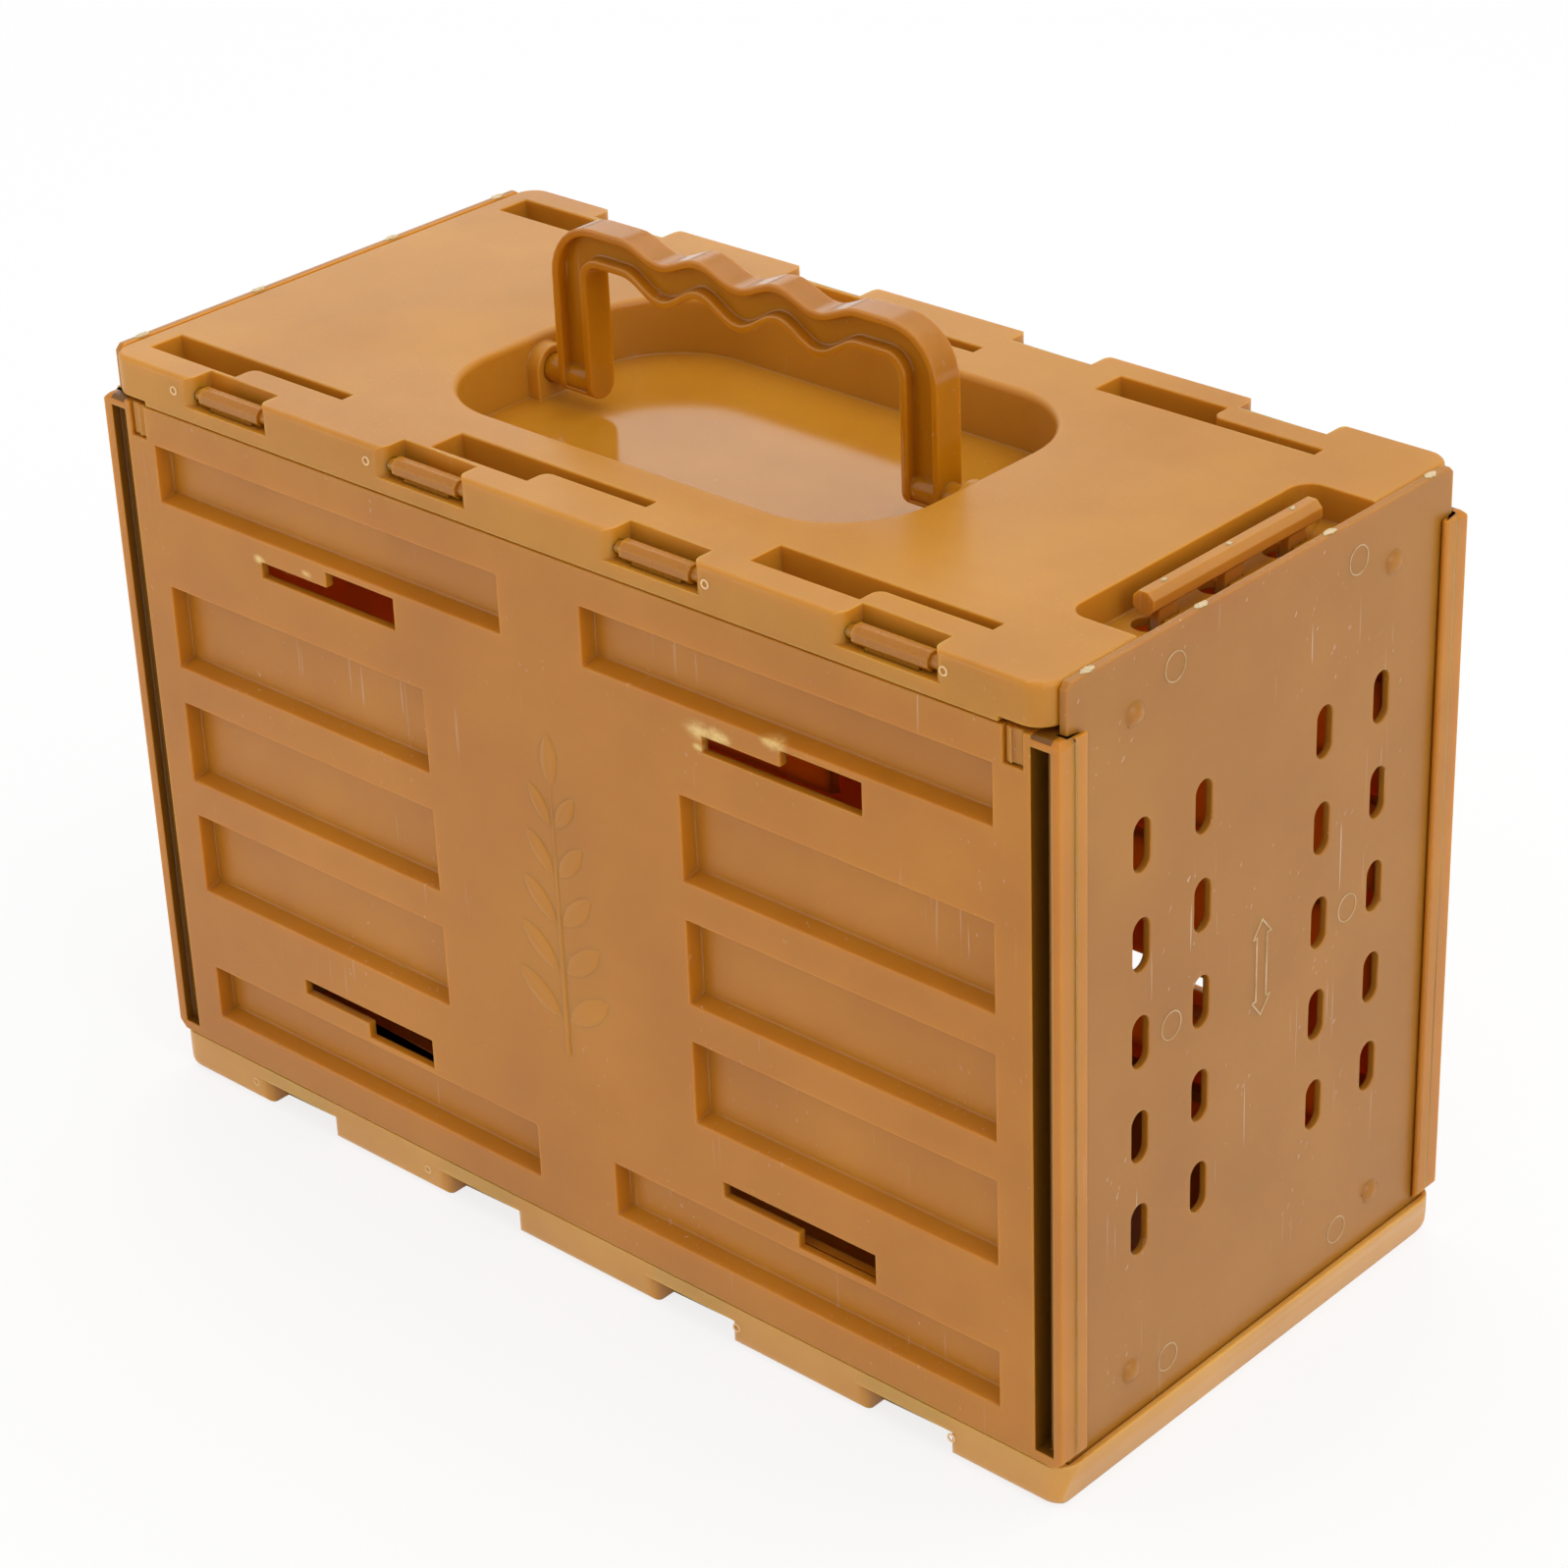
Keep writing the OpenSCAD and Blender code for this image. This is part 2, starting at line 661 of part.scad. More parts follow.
// Stepped slot through a panel, above the middle: its narrow half lies towards -X
module vent_cut() {
    translate([0, -cut, vent_top - vent_h]) {
        cube([vent_l / 2, rail_d + 2 * cut, vent_h]);
        translate([-vent_l / 2, 0, 0]) cube([vent_l / 2 + eps, rail_d + 2 * cut, vent_narrow]);
    }
}

module at_vents() {
    translate([0, 0, panel_mid])
        for (x = [-vent_x, vent_x], up = [0, 1])
            mirror([0, 0, up]) translate([x, 0, 0]) children();
}

// Latch tongue at the +X end: a ridged tongue in its own recess
module latch_tongue() {
    translate([latch_x0, 0, panel_z1 - latch_h + latch_gap]) linear_extrude(latch_h - latch_gap)
        polygon([
            [latch_gap, latch_d + eps], [latch_gap, latch_flat_d], [latch_ridge_x, latch_ridge_d],
            [latch_ridge_x, latch_flat_d], [latch_w - latch_gap, latch_flat_d],
            [latch_w - latch_gap, latch_d + eps]
        ]);
}

// A long panel with its outer face on the XZ plane and the box towards +Y
module panel() {
    difference() {
        union() {
            translate([-slot_x0, 0, panel_z0]) cube([2 * slot_x0, panel_t, panel_z1 - panel_z0]);
            for (z = [panel_z0, panel_z1 - rail_h])
                translate([-slot_x0, 0, z]) cube([2 * slot_x0, rail_d, rail_h]);
            pockets(pocket_t, pocket_t, 0);
            both_x() post();
        }
        pockets(0, 0, cut);
        at_vents() vent_cut();
        both_x()
            translate([latch_x0, -cut, panel_z1 - latch_h]) cube([latch_w, latch_d + cut, latch_h + cut]);
    }
    both_x() latch_tongue();
    for (x = notch_xs) {
        translate([x, 0, panel_z1]) knuckle(lid_rise);
        translate([x, 0, panel_z0]) mirror([0, 0, 1]) knuckle(base_rise);
    }
}

module front_panel() {
    color(panel_colour) translate([0, -half_d, 0]) panel();
}

module back_panel() {
    color(panel_colour) rotate([0, 0, 180]) translate([0, -half_d, 0]) panel();
}

// Outline of a door, with y across and z up
module door_outline() {
    polygon([
        [-door_half, door_z], [door_half, door_z],
        [door_half, height - door_nick], [door_half - door_nick, height],
        [-door_half + door_nick, height], [-door_half, height - door_nick]
    ]);
}

module air_slot() {
    square([air_w, air_h - air_w], center = true);
    for (s = [-1, 1]) translate([0, s * (air_h - air_w) / 2]) circle(d = air_w);
}

// Domed nub that stands on a door's outer face
module nub() {
    cap_r = (nub_r * nub_r + nub_h * nub_h) / (2 * nub_h);
    rotate_extrude() intersection() {
        translate([0, door_t + nub_h - cap_r]) circle(cap_r);
        square([nub_r, door_t + nub_h]);
    }
}

// The door of the +X end
module door() {
    translate([door_in, 0, 0]) rotate([90, 0, 90]) {
        linear_extrude(door_t) difference() {
            door_outline();
            for (y = [-air_outer_y, -air_inner_y, air_inner_y, air_outer_y], i = [0:air_rows - 1])
                translate([y, air_mid_z + (i - (air_rows - 1) / 2) * air_pitch]) air_slot();
        }
        for (y = [-nub_y, nub_y], z = [door_z + nub_z, height - nub_z])
            translate([y, z, 0]) nub();
    }
}

module right_door() {
    color(door_colour) door();
}

module left_door() {
    color(door_colour) rotate([0, 0, 180]) door();
}

// How far the finger hollows draw the grip down at x, from 0 to 1
function hollow(x) = abs(x) < 1.5 * finger_pitch ? (1 + cos(360 * x / finger_pitch)) / 2 : 0;

// Points of an arc about (cx, cy) from angle a0 to a1
function arc(cx, cy, r, a0, a1, n = 8) =
    [for (i = [0:n]) [cx + r * cos(a0 + (a1 - a0) * i / n), cy + r * sin(a0 + (a1 - a0) * i / n)]];

// Front outline of the bail, drawn in by e all round; the pivot line is y = 0
function bail_outline(e, foot) = let (
    w = handle_w / 2 - e,
    top = handle_h - e,
    in_w = handle_w / 2 - leg_w + e,
    under = handle_h - grip_h + e,
    r_out = shoulder_r - e,
    r_in = armpit_r + e,
    n = 48,
    reach = 1.5 * finger_pitch,
    xs = [for (i = [0:n]) -reach + 2 * reach * i / n]
) concat(
    [[w, -foot]],
    arc(w - r_out, top - r_out, r_out, 0, 90),
    [for (i = [n:-1:0]) [xs[i], top - top_wave * hollow(xs[i])]],
    arc(-w + r_out, top - r_out, r_out, 90, 180),
    [[-w, -foot], [-in_w, -foot]],
    arc(-in_w + r_in, under - r_in, r_in, 180, 90),
    [for (x = xs) [x, under - under_wave * hollow(x)]],
    arc(in_w - r_in, under - r_in, r_in, 90, 0),
    [[in_w, -foot]]
);

module handle() {
    foot_r = handle_t / 2;
    color(handle_colour) translate([0, 0, pivot_z]) {
        intersection() {
            difference() {
                rotate([90, 0, 0]) linear_extrude(handle_t, center = true)
                    polygon(bail_outline(0, foot_r));
                for (s = [-1, 1])
                    translate([0, s * (foot_r - web_recess / 2 + cut / 2), 0]) rotate([90, 0, 0])
                        linear_extrude(web_recess + cut, center = true)
                            polygon(bail_outline(rim_t, foot_r - rim_t));
            }
            rotate([90, 0, 90]) linear_extrude(handle_w + 2, center = true) {
                circle(foot_r);
                translate([-foot_r, 0]) square([handle_t, handle_h + cut]);
            }
        }
        both_x()
            translate([handle_w / 2 - leg_w, 0, 0]) rotate([0, 90, 0])
                cylinder(r = pivot_r, h = leg_w + (well_l - handle_w) / 2 - pivot_inset);
    }
}

module keyed_bar() {
    stem_foot = recess_floor_z - wall - key_clear;
    color(handle_colour) translate([bar_x, key_travel, 0]) {
        translate([0, 0, bar_z]) rotate([90, 0, 0]) rotate([0, 0, 22.5])
            cylinder(d = bar_w / cos(22.5), h = bar_l, center = true, $fn = 8);
        for (i = [-1:1]) translate([0, i * stem_pitch, 0]) {
            translate([-stem_t / 2, -stem_w / 2, stem_foot])
                cube([stem_t, stem_w, bar_z - stem_foot]);
            translate([0, 0, stem_foot - head_t]) cylinder(r = head_r, h = head_t);
        }
    }
}

base();
lid();
front_panel();
back_panel();
left_door();
right_door();
handle();
keyed_bar();
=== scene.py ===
"""Bird travel carrier, dressed for a product picture.

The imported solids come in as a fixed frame. Each one is shown by a copy whose
edges are rounded as on a moulding, and the small marks of the mould, a leaf
relief and the stage are added. Everything is in metres, +Z up, +X towards the
end with the keyed bar, -Y towards the front.
"""

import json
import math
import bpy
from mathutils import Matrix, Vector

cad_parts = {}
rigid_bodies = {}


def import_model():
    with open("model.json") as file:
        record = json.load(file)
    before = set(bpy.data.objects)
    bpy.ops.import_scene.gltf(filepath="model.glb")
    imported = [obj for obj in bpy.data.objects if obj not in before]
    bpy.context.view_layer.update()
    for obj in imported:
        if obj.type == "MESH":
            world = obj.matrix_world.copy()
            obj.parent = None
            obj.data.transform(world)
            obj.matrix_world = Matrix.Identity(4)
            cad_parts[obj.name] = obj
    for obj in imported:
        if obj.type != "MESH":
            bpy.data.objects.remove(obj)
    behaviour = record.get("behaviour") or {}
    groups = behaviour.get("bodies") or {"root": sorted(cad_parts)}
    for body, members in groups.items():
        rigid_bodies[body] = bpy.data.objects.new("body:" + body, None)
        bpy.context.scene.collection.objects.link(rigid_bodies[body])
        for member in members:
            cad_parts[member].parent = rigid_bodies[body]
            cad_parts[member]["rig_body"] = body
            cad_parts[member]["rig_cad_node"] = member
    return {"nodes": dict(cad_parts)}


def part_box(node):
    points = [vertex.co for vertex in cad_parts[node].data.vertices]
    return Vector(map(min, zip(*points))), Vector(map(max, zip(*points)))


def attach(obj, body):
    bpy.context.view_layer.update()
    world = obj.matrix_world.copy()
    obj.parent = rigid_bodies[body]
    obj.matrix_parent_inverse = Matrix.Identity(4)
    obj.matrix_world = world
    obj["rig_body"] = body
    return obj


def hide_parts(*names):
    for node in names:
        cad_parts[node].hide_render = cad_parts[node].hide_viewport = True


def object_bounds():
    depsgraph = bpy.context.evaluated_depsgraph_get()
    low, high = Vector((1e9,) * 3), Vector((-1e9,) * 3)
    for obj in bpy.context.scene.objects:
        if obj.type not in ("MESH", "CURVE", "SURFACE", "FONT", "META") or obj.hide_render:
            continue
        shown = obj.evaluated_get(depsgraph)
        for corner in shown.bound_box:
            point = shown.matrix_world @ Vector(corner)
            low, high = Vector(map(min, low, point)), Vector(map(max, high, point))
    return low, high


bl_info = {
    "name": "Bird travel carrier",
    "version": (1, 0, 0),
    "blender": (4, 5, 0),
    "location": "View3D > Sidebar > Carrier",
    "description": "Rounds the moulded pieces of a bird travel carrier and gives them their plastic",
    "category": "Object",
}

import bmesh
import bpy
from mathutils import Quaternion, Vector

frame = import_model()
CAD_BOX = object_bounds()

MM = 0.001


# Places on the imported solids. The box stands on z = 0 with its middle at x = y = 0.

# Front face, top of the lid and height halfway up
FRONT = CAD_BOX[0][1]
LID_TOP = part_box("lid")[1][2]
MID_HEIGHT = 0.5 * LID_TOP

# Middles of the hinge notches along a long side, how far out in y the notches and
# their rolled mouths lie, and how far a mouth and a knuckle reach along x
NOTCH_XS = (0.035, 0.1001)
NOTCH_Y = 0.0625
MOUTH_Y = 0.0655
MOUTH_REACH = 0.0165
KNUCKLE_REACH = 0.0135

# The knuckles lie under the first of these heights and over the second
KNUCKLE_ZS = (0.0113, 0.1867)

# How far above and below the middle height the hinge barrels begin
BARREL_START = 0.0885

CABIN_MIDDLE = (0.0, 0.0, 0.1)

# Slot down a corner post: its two sides in x and its mouth in y
SLOT_XS = (0.13695, 0.14205)
SLOT_MOUTH = 0.0697

# Handle well in the lid: how far its floor reaches, and the floor's height
WELL_X = 0.0665
WELL_Y = 0.041
WELL_FLOOR = LID_TOP - 14.5 * MM

# Handle: its pivot line, how near that line a pivot's edge lies, the outer face of a
# leg, and how far the pivot reaches in the recess of a leg's side face
PIVOT_Z = LID_TOP - 7.5 * MM
PIVOT_REACH = 3.7 * MM
LEG_FACE = 0.0582
RECESS_XS = (0.0485, 0.057)
RECESS_Y = 3.6 * MM
RECESS_TOP = PIVOT_Z + 5.5 * MM

DOOR_THICKNESS = 2 * MM

# Rim dots: node, height, and places along the front side
RIM_DOTS = (
    ("lid", 0.1939, (-0.1177, -0.0521, 0.0509, 0.1152)),
    ("base", 0.0056, (-0.116, -0.053, 0.0495, 0.1135)),
)

# Ejector rings of a door, and the outline, width and height of its double arrow
RING_YS = (-0.0315, 0.0315)
RING_ZS = (0.0194, 0.1045, 0.1884)
ARROW_YZ = (
    (0.0, 0.0922), (0.0032, 0.0962), (0.0018, 0.0962), (0.0018, 0.1119), (0.0032, 0.1119),
    (0.0, 0.1159), (-0.0032, 0.1119), (-0.0018, 0.1119), (-0.0018, 0.0962), (-0.0032, 0.0962),
)
ARROW_LINE = 0.5 * MM
ARROW_RISE = 0.22 * MM

# Torn gate marks on the top of a door and of the keyed bar: half sizes, places and
# the seed of the first
DOOR_GATE = (0.9 * MM, 2.0 * MM, 0.35 * MM)
DOOR_GATE_YS = (-0.0585, -0.022, 0.022, 0.0585)
DOOR_GATE_SEED = 3
BAR_GATE = (0.5 * MM, 0.8 * MM, 0.3 * MM)
BAR_GATE_YS = (-0.017, 0.005, 0.027)
BAR_GATE_SEED = 11

# Pale bruises at the slots of the long panels, as centre and radius
BRUISES = {
    "front_panel": (
        ((0.0470, -0.070, 0.1585), 0.0075), ((0.0530, -0.070, 0.1590), 0.0060),
        ((0.0685, -0.070, 0.1625), 0.0060), ((0.0465, -0.070, 0.1545), 0.0030),
        ((-0.0930, -0.070, 0.1580), 0.0035), ((-0.0765, -0.070, 0.1590), 0.0030),
    ),
    "back_panel": (((0.060, 0.070, 0.1620), 0.004),),
}

# Leaf relief: middle, height and radius of its stem, its pairs of leaves and the leaf
# at its tip
STEM_MIDDLE = 0.0945
STEM_HEIGHT = 70 * MM
STEM_RADIUS = 0.9 * MM
LEAF_PAIRS = 5
FIRST_PAIR_Z = 0.068
PAIR_STEP = 12.5 * MM
TIP_Z = 0.136
TIP_LENGTH = 14 * MM

# A leaf's half width as a share of its length, and how far the middle of each form of
# the relief lies behind the panel's face, as a share of how far it stands out
LEAF_WIDTH = 0.19
SUNK = 0.4

# Share of white in what the camera sees of the floor
FLOOR_GLOW = 0.80

# Camera, fitted to the photograph. Its bearing is taken from the front towards the
# right end.
CAMERA_PLACE = (0.57966, -0.61006, 0.55249)
CAMERA_BEARING = math.radians(43.28)
CAMERA_ELEVATION = math.radians(28.25)
CAMERA_ROLL = math.radians(-2.287)
CAMERA_LENS = 93.06


# Settings


class CarrierSizes(bpy.types.PropertyGroup):
    """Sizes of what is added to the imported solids"""

    edge_round: bpy.props.FloatProperty(
        name="Edge rounding",
        description="Width of the rounding along the edges of the mouldings",
        default=0.36 * MM, min=0, max=MM, subtype="DISTANCE", unit="LENGTH", precision=5,
    )
    handle_round: bpy.props.FloatProperty(
        name="Handle rounding",
        description="Width of the rounding along the edges of the handle",
        default=0.5 * MM, min=0, max=MM, subtype="DISTANCE", unit="LENGTH", precision=5,
    )
    facet_round: bpy.props.FloatProperty(
        name="Facet rounding",
        description="Width of the rounding between the facets of the keyed bar",
        default=0.2 * MM, min=0, max=MM, subtype="DISTANCE", unit="LENGTH", precision=5,
    )
    ring_radius: bpy.props.FloatProperty(
        name="Ejector ring radius",
        description="Radius of the faint rings that the ejector pins leave on a door",
        default=3.3 * MM, min=MM, max=6 * MM, subtype="DISTANCE", unit="LENGTH", precision=5,
    )
    ring_line: bpy.props.FloatProperty(
        name="Ejector ring line",
        description="Radius of the raised line of an ejector ring",
        default=0.16 * MM, min=0.05 * MM, max=MM, subtype="DISTANCE", unit="LENGTH", precision=5,
    )
    dot_radius: bpy.props.FloatProperty(
        name="Rim dot radius",
        description="Radius of the small round marks on the rims of the lid and the base",
        default=1.15 * MM, min=0.5 * MM, max=3 * MM, subtype="DISTANCE", unit="LENGTH", precision=5,
    )
    dot_line: bpy.props.FloatProperty(
        name="Rim dot line",
        description="Radius of the raised line of a rim dot",
        default=0.24 * MM, min=0.05 * MM, max=MM, subtype="DISTANCE", unit="LENGTH", precision=5,
    )
    relief_rise: bpy.props.FloatProperty(
        name="Relief height",
        description="How far the leaves stand out of the front panel",
        default=0.4 * MM, min=0.1 * MM, max=MM, subtype="DISTANCE", unit="LENGTH", precision=5,
    )


class CarrierColours(bpy.types.PropertyGroup):
    """Colours of the plastics and of the backdrop"""

    lid: bpy.props.FloatVectorProperty(
        name="Lid", description="Plastic of the lid",
        default=(0.53, 0.225, 0.015), size=3, min=0, max=1, subtype="COLOR",
    )
    base: bpy.props.FloatVectorProperty(
        name="Base", description="Plastic of the base, paler than the lid",
        default=(0.64, 0.315, 0.065), size=3, min=0, max=1, subtype="COLOR",
    )
    panel: bpy.props.FloatVectorProperty(
        name="Long panels", description="Plastic of the long panels",
        default=(0.50, 0.190, 0.010), size=3, min=0, max=1, subtype="COLOR",
    )
    door: bpy.props.FloatVectorProperty(
        name="Doors", description="Plastic of the end doors",
        default=(0.39, 0.158, 0.014), size=3, min=0, max=1, subtype="COLOR",
    )
    handle: bpy.props.FloatVectorProperty(
        name="Handle", description="Plastic of the handle",
        default=(0.43, 0.162, 0.003), size=3, min=0, max=1, subtype="COLOR",
    )
    bar: bpy.props.FloatVectorProperty(
        name="Keyed bar", description="Plastic of the keyed bar",
        default=(0.52, 0.23, 0.03), size=3, min=0, max=1, subtype="COLOR",
    )
    rubbed: bpy.props.FloatVectorProperty(
        name="Rubbed lines", description="Fine raised lines and rings, rubbed pale",
        default=(0.70, 0.42, 0.15), size=3, min=0, max=1, subtype="COLOR",
    )
    gate: bpy.props.FloatVectorProperty(
        name="Gate marks", description="Pale torn plastic where the runners were broken off",
        default=(0.78, 0.60, 0.34), size=3, min=0, max=1, subtype="COLOR",
    )
    backdrop: bpy.props.FloatVectorProperty(
        name="Backdrop", description="Floor round the carrier",
        default=(0.90, 0.90, 0.90), size=3, min=0, max=1, subtype="COLOR",
    )


# Colours as nodes take them


def dyed(colour, red, green, blue):
    """A colour with its three parts multiplied, each up to 1"""
    return tuple(min(1.0, part * share) for part, share in zip(colour, (red, green, blue))) + (1.0,)


def darkened(colour, share):
    """A colour multiplied by one share all over"""
    return dyed(colour, share, share, share)


def paled(colour, share):
    """A colour moved a share of the way to white"""
    return tuple(part + (1.0 - part) * share for part in colour) + (1.0,)


# Nodes


def add_node(tree, kind, settings=None, **values):
    """One shader node, with its settings and its unlinked inputs set by name"""
    node = tree.nodes.new(kind)
    for key, value in (settings or {}).items():
        setattr(node, key, value)
    for key, value in values.items():
        node.inputs[key.replace("_", " ")].default_value = value
    return node


def feed(tree, socket, value):
    """Links an output to an input socket, or sets the socket to a plain value"""
    if isinstance(value, bpy.types.NodeSocket):
        tree.links.new(value, socket)
    else:
        socket.default_value = value


def calculate(tree, operation, first, second=0.5, third=0.0, clamp=False):
    """A Math node on values or sockets; returns its output"""
    node = add_node(tree, "ShaderNodeMath", {"operation": operation, "use_clamp": clamp})
    for socket, value in zip(node.inputs, (first, second, third)):
        feed(tree, socket, value)
    return node.outputs[0]


def calculate_vector(tree, operation, *vectors):
    """A Vector Math node on vectors or sockets; returns the output that it fills"""
    node = add_node(tree, "ShaderNodeVectorMath", {"operation": operation})
    for socket, vector in zip(node.inputs, vectors):
        feed(tree, socket, vector)
    return node.outputs["Value" if operation in ("DOT_PRODUCT", "LENGTH") else "Vector"]


def map_vector(tree, vector, **values):
    """A Mapping node with its inputs set by name; returns its vector"""
    mapping = add_node(tree, "ShaderNodeMapping", **values)
    feed(tree, mapping.inputs["Vector"], vector)
    return mapping.outputs["Vector"]


def axes_of(tree, vector):
    """The X, Y and Z outputs of a vector that is split"""
    node = tree.nodes.new("ShaderNodeSeparateXYZ")
    feed(tree, node.inputs[0], vector)
    return node.outputs


def remap(tree, value, low, high, to_low=0.0, to_high=1.0, smooth=False):
    """A clamped Map Range node; returns its output"""
    node = add_node(tree, "ShaderNodeMapRange", {"interpolation_type": "SMOOTHSTEP" if smooth else "LINEAR"})
    feed(tree, node.inputs["Value"], value)
    node.inputs["From Min"].default_value = low
    node.inputs["From Max"].default_value = high
    node.inputs["To Min"].default_value = to_low
    node.inputs["To Max"].default_value = to_high
    return node.outputs["Result"]


def noise(tree, vector, scale, detail=2.0, roughness=0.5, stretch=None):
    """Noise on a vector socket, in cells per metre; returns its value"""
    if stretch is not None:
        vector = map_vector(tree, vector, Scale=stretch)
    node = add_node(tree, "ShaderNodeTexNoise", Detail=detail, Roughness=roughness)
    feed(tree, node.inputs["Vector"], vector)
    feed(tree, node.inputs["Scale"], scale)
    return node.outputs["Fac"]


def blend_colour(tree, factor, first, second):
    """A Mix node on two colours; returns its colour output"""
    node = add_node(tree, "ShaderNodeMix", {"data_type": "RGBA"})
    for number, value in ((0, factor), (6, first), (7, second)):
        feed(tree, node.inputs[number], value)
    return node.outputs[2]


# Parts of masks


def away_from(tree, value, middle=0.0):
    """How far a value lies from a middle, on either side of it"""
    return calculate(tree, "ABSOLUTE", calculate(tree, "SUBTRACT", value, middle))


def over(tree, value, limit):
    """1 where a value is over a limit"""
    return calculate(tree, "GREATER_THAN", value, limit)


def under(tree, value, limit):
    """1 where a value is under a limit"""
    return calculate(tree, "LESS_THAN", value, limit)


def both(tree, first, second):
    """Two masks multiplied, so 1 where both of them are"""
    return calculate(tree, "MULTIPLY", first, second)


def well_floor(tree, place):
    """1 on the floor of the handle well"""
    axes = axes_of(tree, place)
    mask = under(tree, away_from(tree, axes["X"]), WELL_X)
    mask = both(tree, mask, under(tree, away_from(tree, axes["Y"]), WELL_Y))
    return both(tree, mask, under(tree, away_from(tree, axes["Z"], WELL_FLOOR), MM))


# Effects that the plastics share. Noise is in cells per metre along each axis.

FLOAT = "NodeSocketFloat"
VECTOR = "NodeSocketVector"

GROUPS = {}


def new_group(name, inputs, outputs):
    """An empty shader node group with named sockets; returns its tree, its group
    input's outputs and its group output's inputs"""
    tree = bpy.data.node_groups.new(name, "ShaderNodeTree")
    for socket_name, kind, default in inputs:
        socket = tree.interface.new_socket(name=socket_name, in_out="INPUT", socket_type=kind)
        if default is not None:
            socket.default_value = default
    for socket_name, kind in outputs:
        tree.interface.new_socket(name=socket_name, in_out="OUTPUT", socket_type=kind)
    return tree, tree.nodes.new("NodeGroupInput").outputs, tree.nodes.new("NodeGroupOutput").inputs


def moulded_grain_group():
    """Fine skin of moulded plastic with the slow clouding of the melt"""
    tree, given, result = new_group(
        "Moulded grain",
        [("Vector", VECTOR, None), ("Cloud Scale", FLOAT, 22.0), ("Grain Scale", FLOAT, 900.0)],
        [("Cloud", FLOAT), ("Grain", FLOAT), ("Height", FLOAT)],
    )
    cloud = noise(tree, given["Vector"], given["Cloud Scale"], 3.0, 0.55)
    grain = noise(tree, given["Vector"], given["Grain Scale"], 4.0, 0.6)
    sink = noise(tree, given["Vector"], 55.0, 1.0)
    feed(tree, result["Cloud"], cloud)
    feed(tree, result["Grain"], grain)
    feed(tree, result["Height"], calculate(tree, "MULTIPLY_ADD", sink, 5.0, grain))
    return tree


def edge_wear_and_highlight_group():
    """Mask along the edges, the same mask broken up by noise, and a normal that
    softens the edges"""
    tree, given, result = new_group(
        "Edge wear and highlight",
        [("Vector", VECTOR, None), ("Breakup Scale", FLOAT, 160.0)],
        [("Edge", FLOAT), ("Worn", FLOAT), ("Normal", VECTOR)],
    )
    softened = add_node(tree, "ShaderNodeBevel", {"samples": 4}, Radius=0.35 * MM).outputs["Normal"]
    surface = tree.nodes.new("ShaderNodeNewGeometry").outputs["Normal"]
    edge = remap(tree, calculate_vector(tree, "DOT_PRODUCT", softened, surface), 0.995, 0.86)
    chips = remap(tree, noise(tree, given["Vector"], given["Breakup Scale"], 4.0, 0.65), 0.42, 0.66)
    feed(tree, result["Edge"], edge)
    feed(tree, result["Worn"], both(tree, edge, chips))
    feed(tree, result["Normal"], softened)
    return tree


def handling_scratches_group():
    """Thin pale scratches that run mostly upright, in loose patches"""
    tree, given, result = new_group("Handling scratches", [("Vector", VECTOR, None)], [("Scratch", FLOAT)])
    place = given["Vector"]
    upright = noise(tree, place, 1.0, 1.0, 0.5, stretch=(900.0, 900.0, 26.0))
    slanted = map_vector(tree, place, Rotation=(0.5, 0.35, 0.0))
    crossing = noise(tree, slanted, 1.0, 1.0, 0.5, stretch=(1100.0, 1100.0, 34.0))
    lines = calculate(
        tree, "MAXIMUM", remap(tree, upright, 0.715, 0.745), remap(tree, crossing, 0.735, 0.765)
    )
    patches = remap(tree, noise(tree, place, 28.0, 1.0), 0.47, 0.62)
    feed(tree, result["Scratch"], both(tree, lines, patches))
    return tree


def stress_mark_group():
    """Pale bruise of bent plastic round a point, lower than it is wide"""
    tree, given, result = new_group(
        "Stress mark",
        [("Vector", VECTOR, None), ("Centre", VECTOR, None), ("Radius", FLOAT, 0.01)],
        [("Mark", FLOAT)],
    )
    offset = calculate_vector(tree, "SUBTRACT", given["Vector"], given["Centre"])
    flattened = calculate_vector(tree, "MULTIPLY", offset, (1.0, 1.0, 1.8))
    share = calculate(tree, "DIVIDE", calculate_vector(tree, "LENGTH", flattened), given["Radius"])
    near = calculate(tree, "SUBTRACT", 1.0, share, clamp=True)
    ragged = noise(tree, given["Vector"], 300.0, 4.0, 0.7, stretch=(0.8, 1.0, 1.3))
    feed(tree, result["Mark"], remap(tree, both(tree, near, ragged), 0.12, 0.50, smooth=True))
    return tree


def inner_face_group():
    """Mask of the faces that look back at the cabin's middle along the axes given, less
    than a reach from it"""
    tree, given, result = new_group(
        "Inner face",
        [("Vector", VECTOR, None), ("Axes", VECTOR, None), ("Reach", VECTOR, None)],
        [("Inner", FLOAT)],
    )
    outward = calculate_vector(tree, "SUBTRACT", given["Vector"], CABIN_MIDDLE)
    along = calculate_vector(tree, "MULTIPLY", outward, given["Axes"])
    normal = tree.nodes.new("ShaderNodeTexCoord").outputs["Normal"]
    mask = remap(tree, calculate_vector(tree, "DOT_PRODUCT", along, normal), -0.03, -0.05)
    place = axes_of(tree, given["Vector"])
    reach = axes_of(tree, given["Reach"])
    for axis in "XY":
        mask = both(tree, mask, under(tree, away_from(tree, place[axis]), reach[axis]))
    feed(tree, result["Inner"], mask)
    return tree


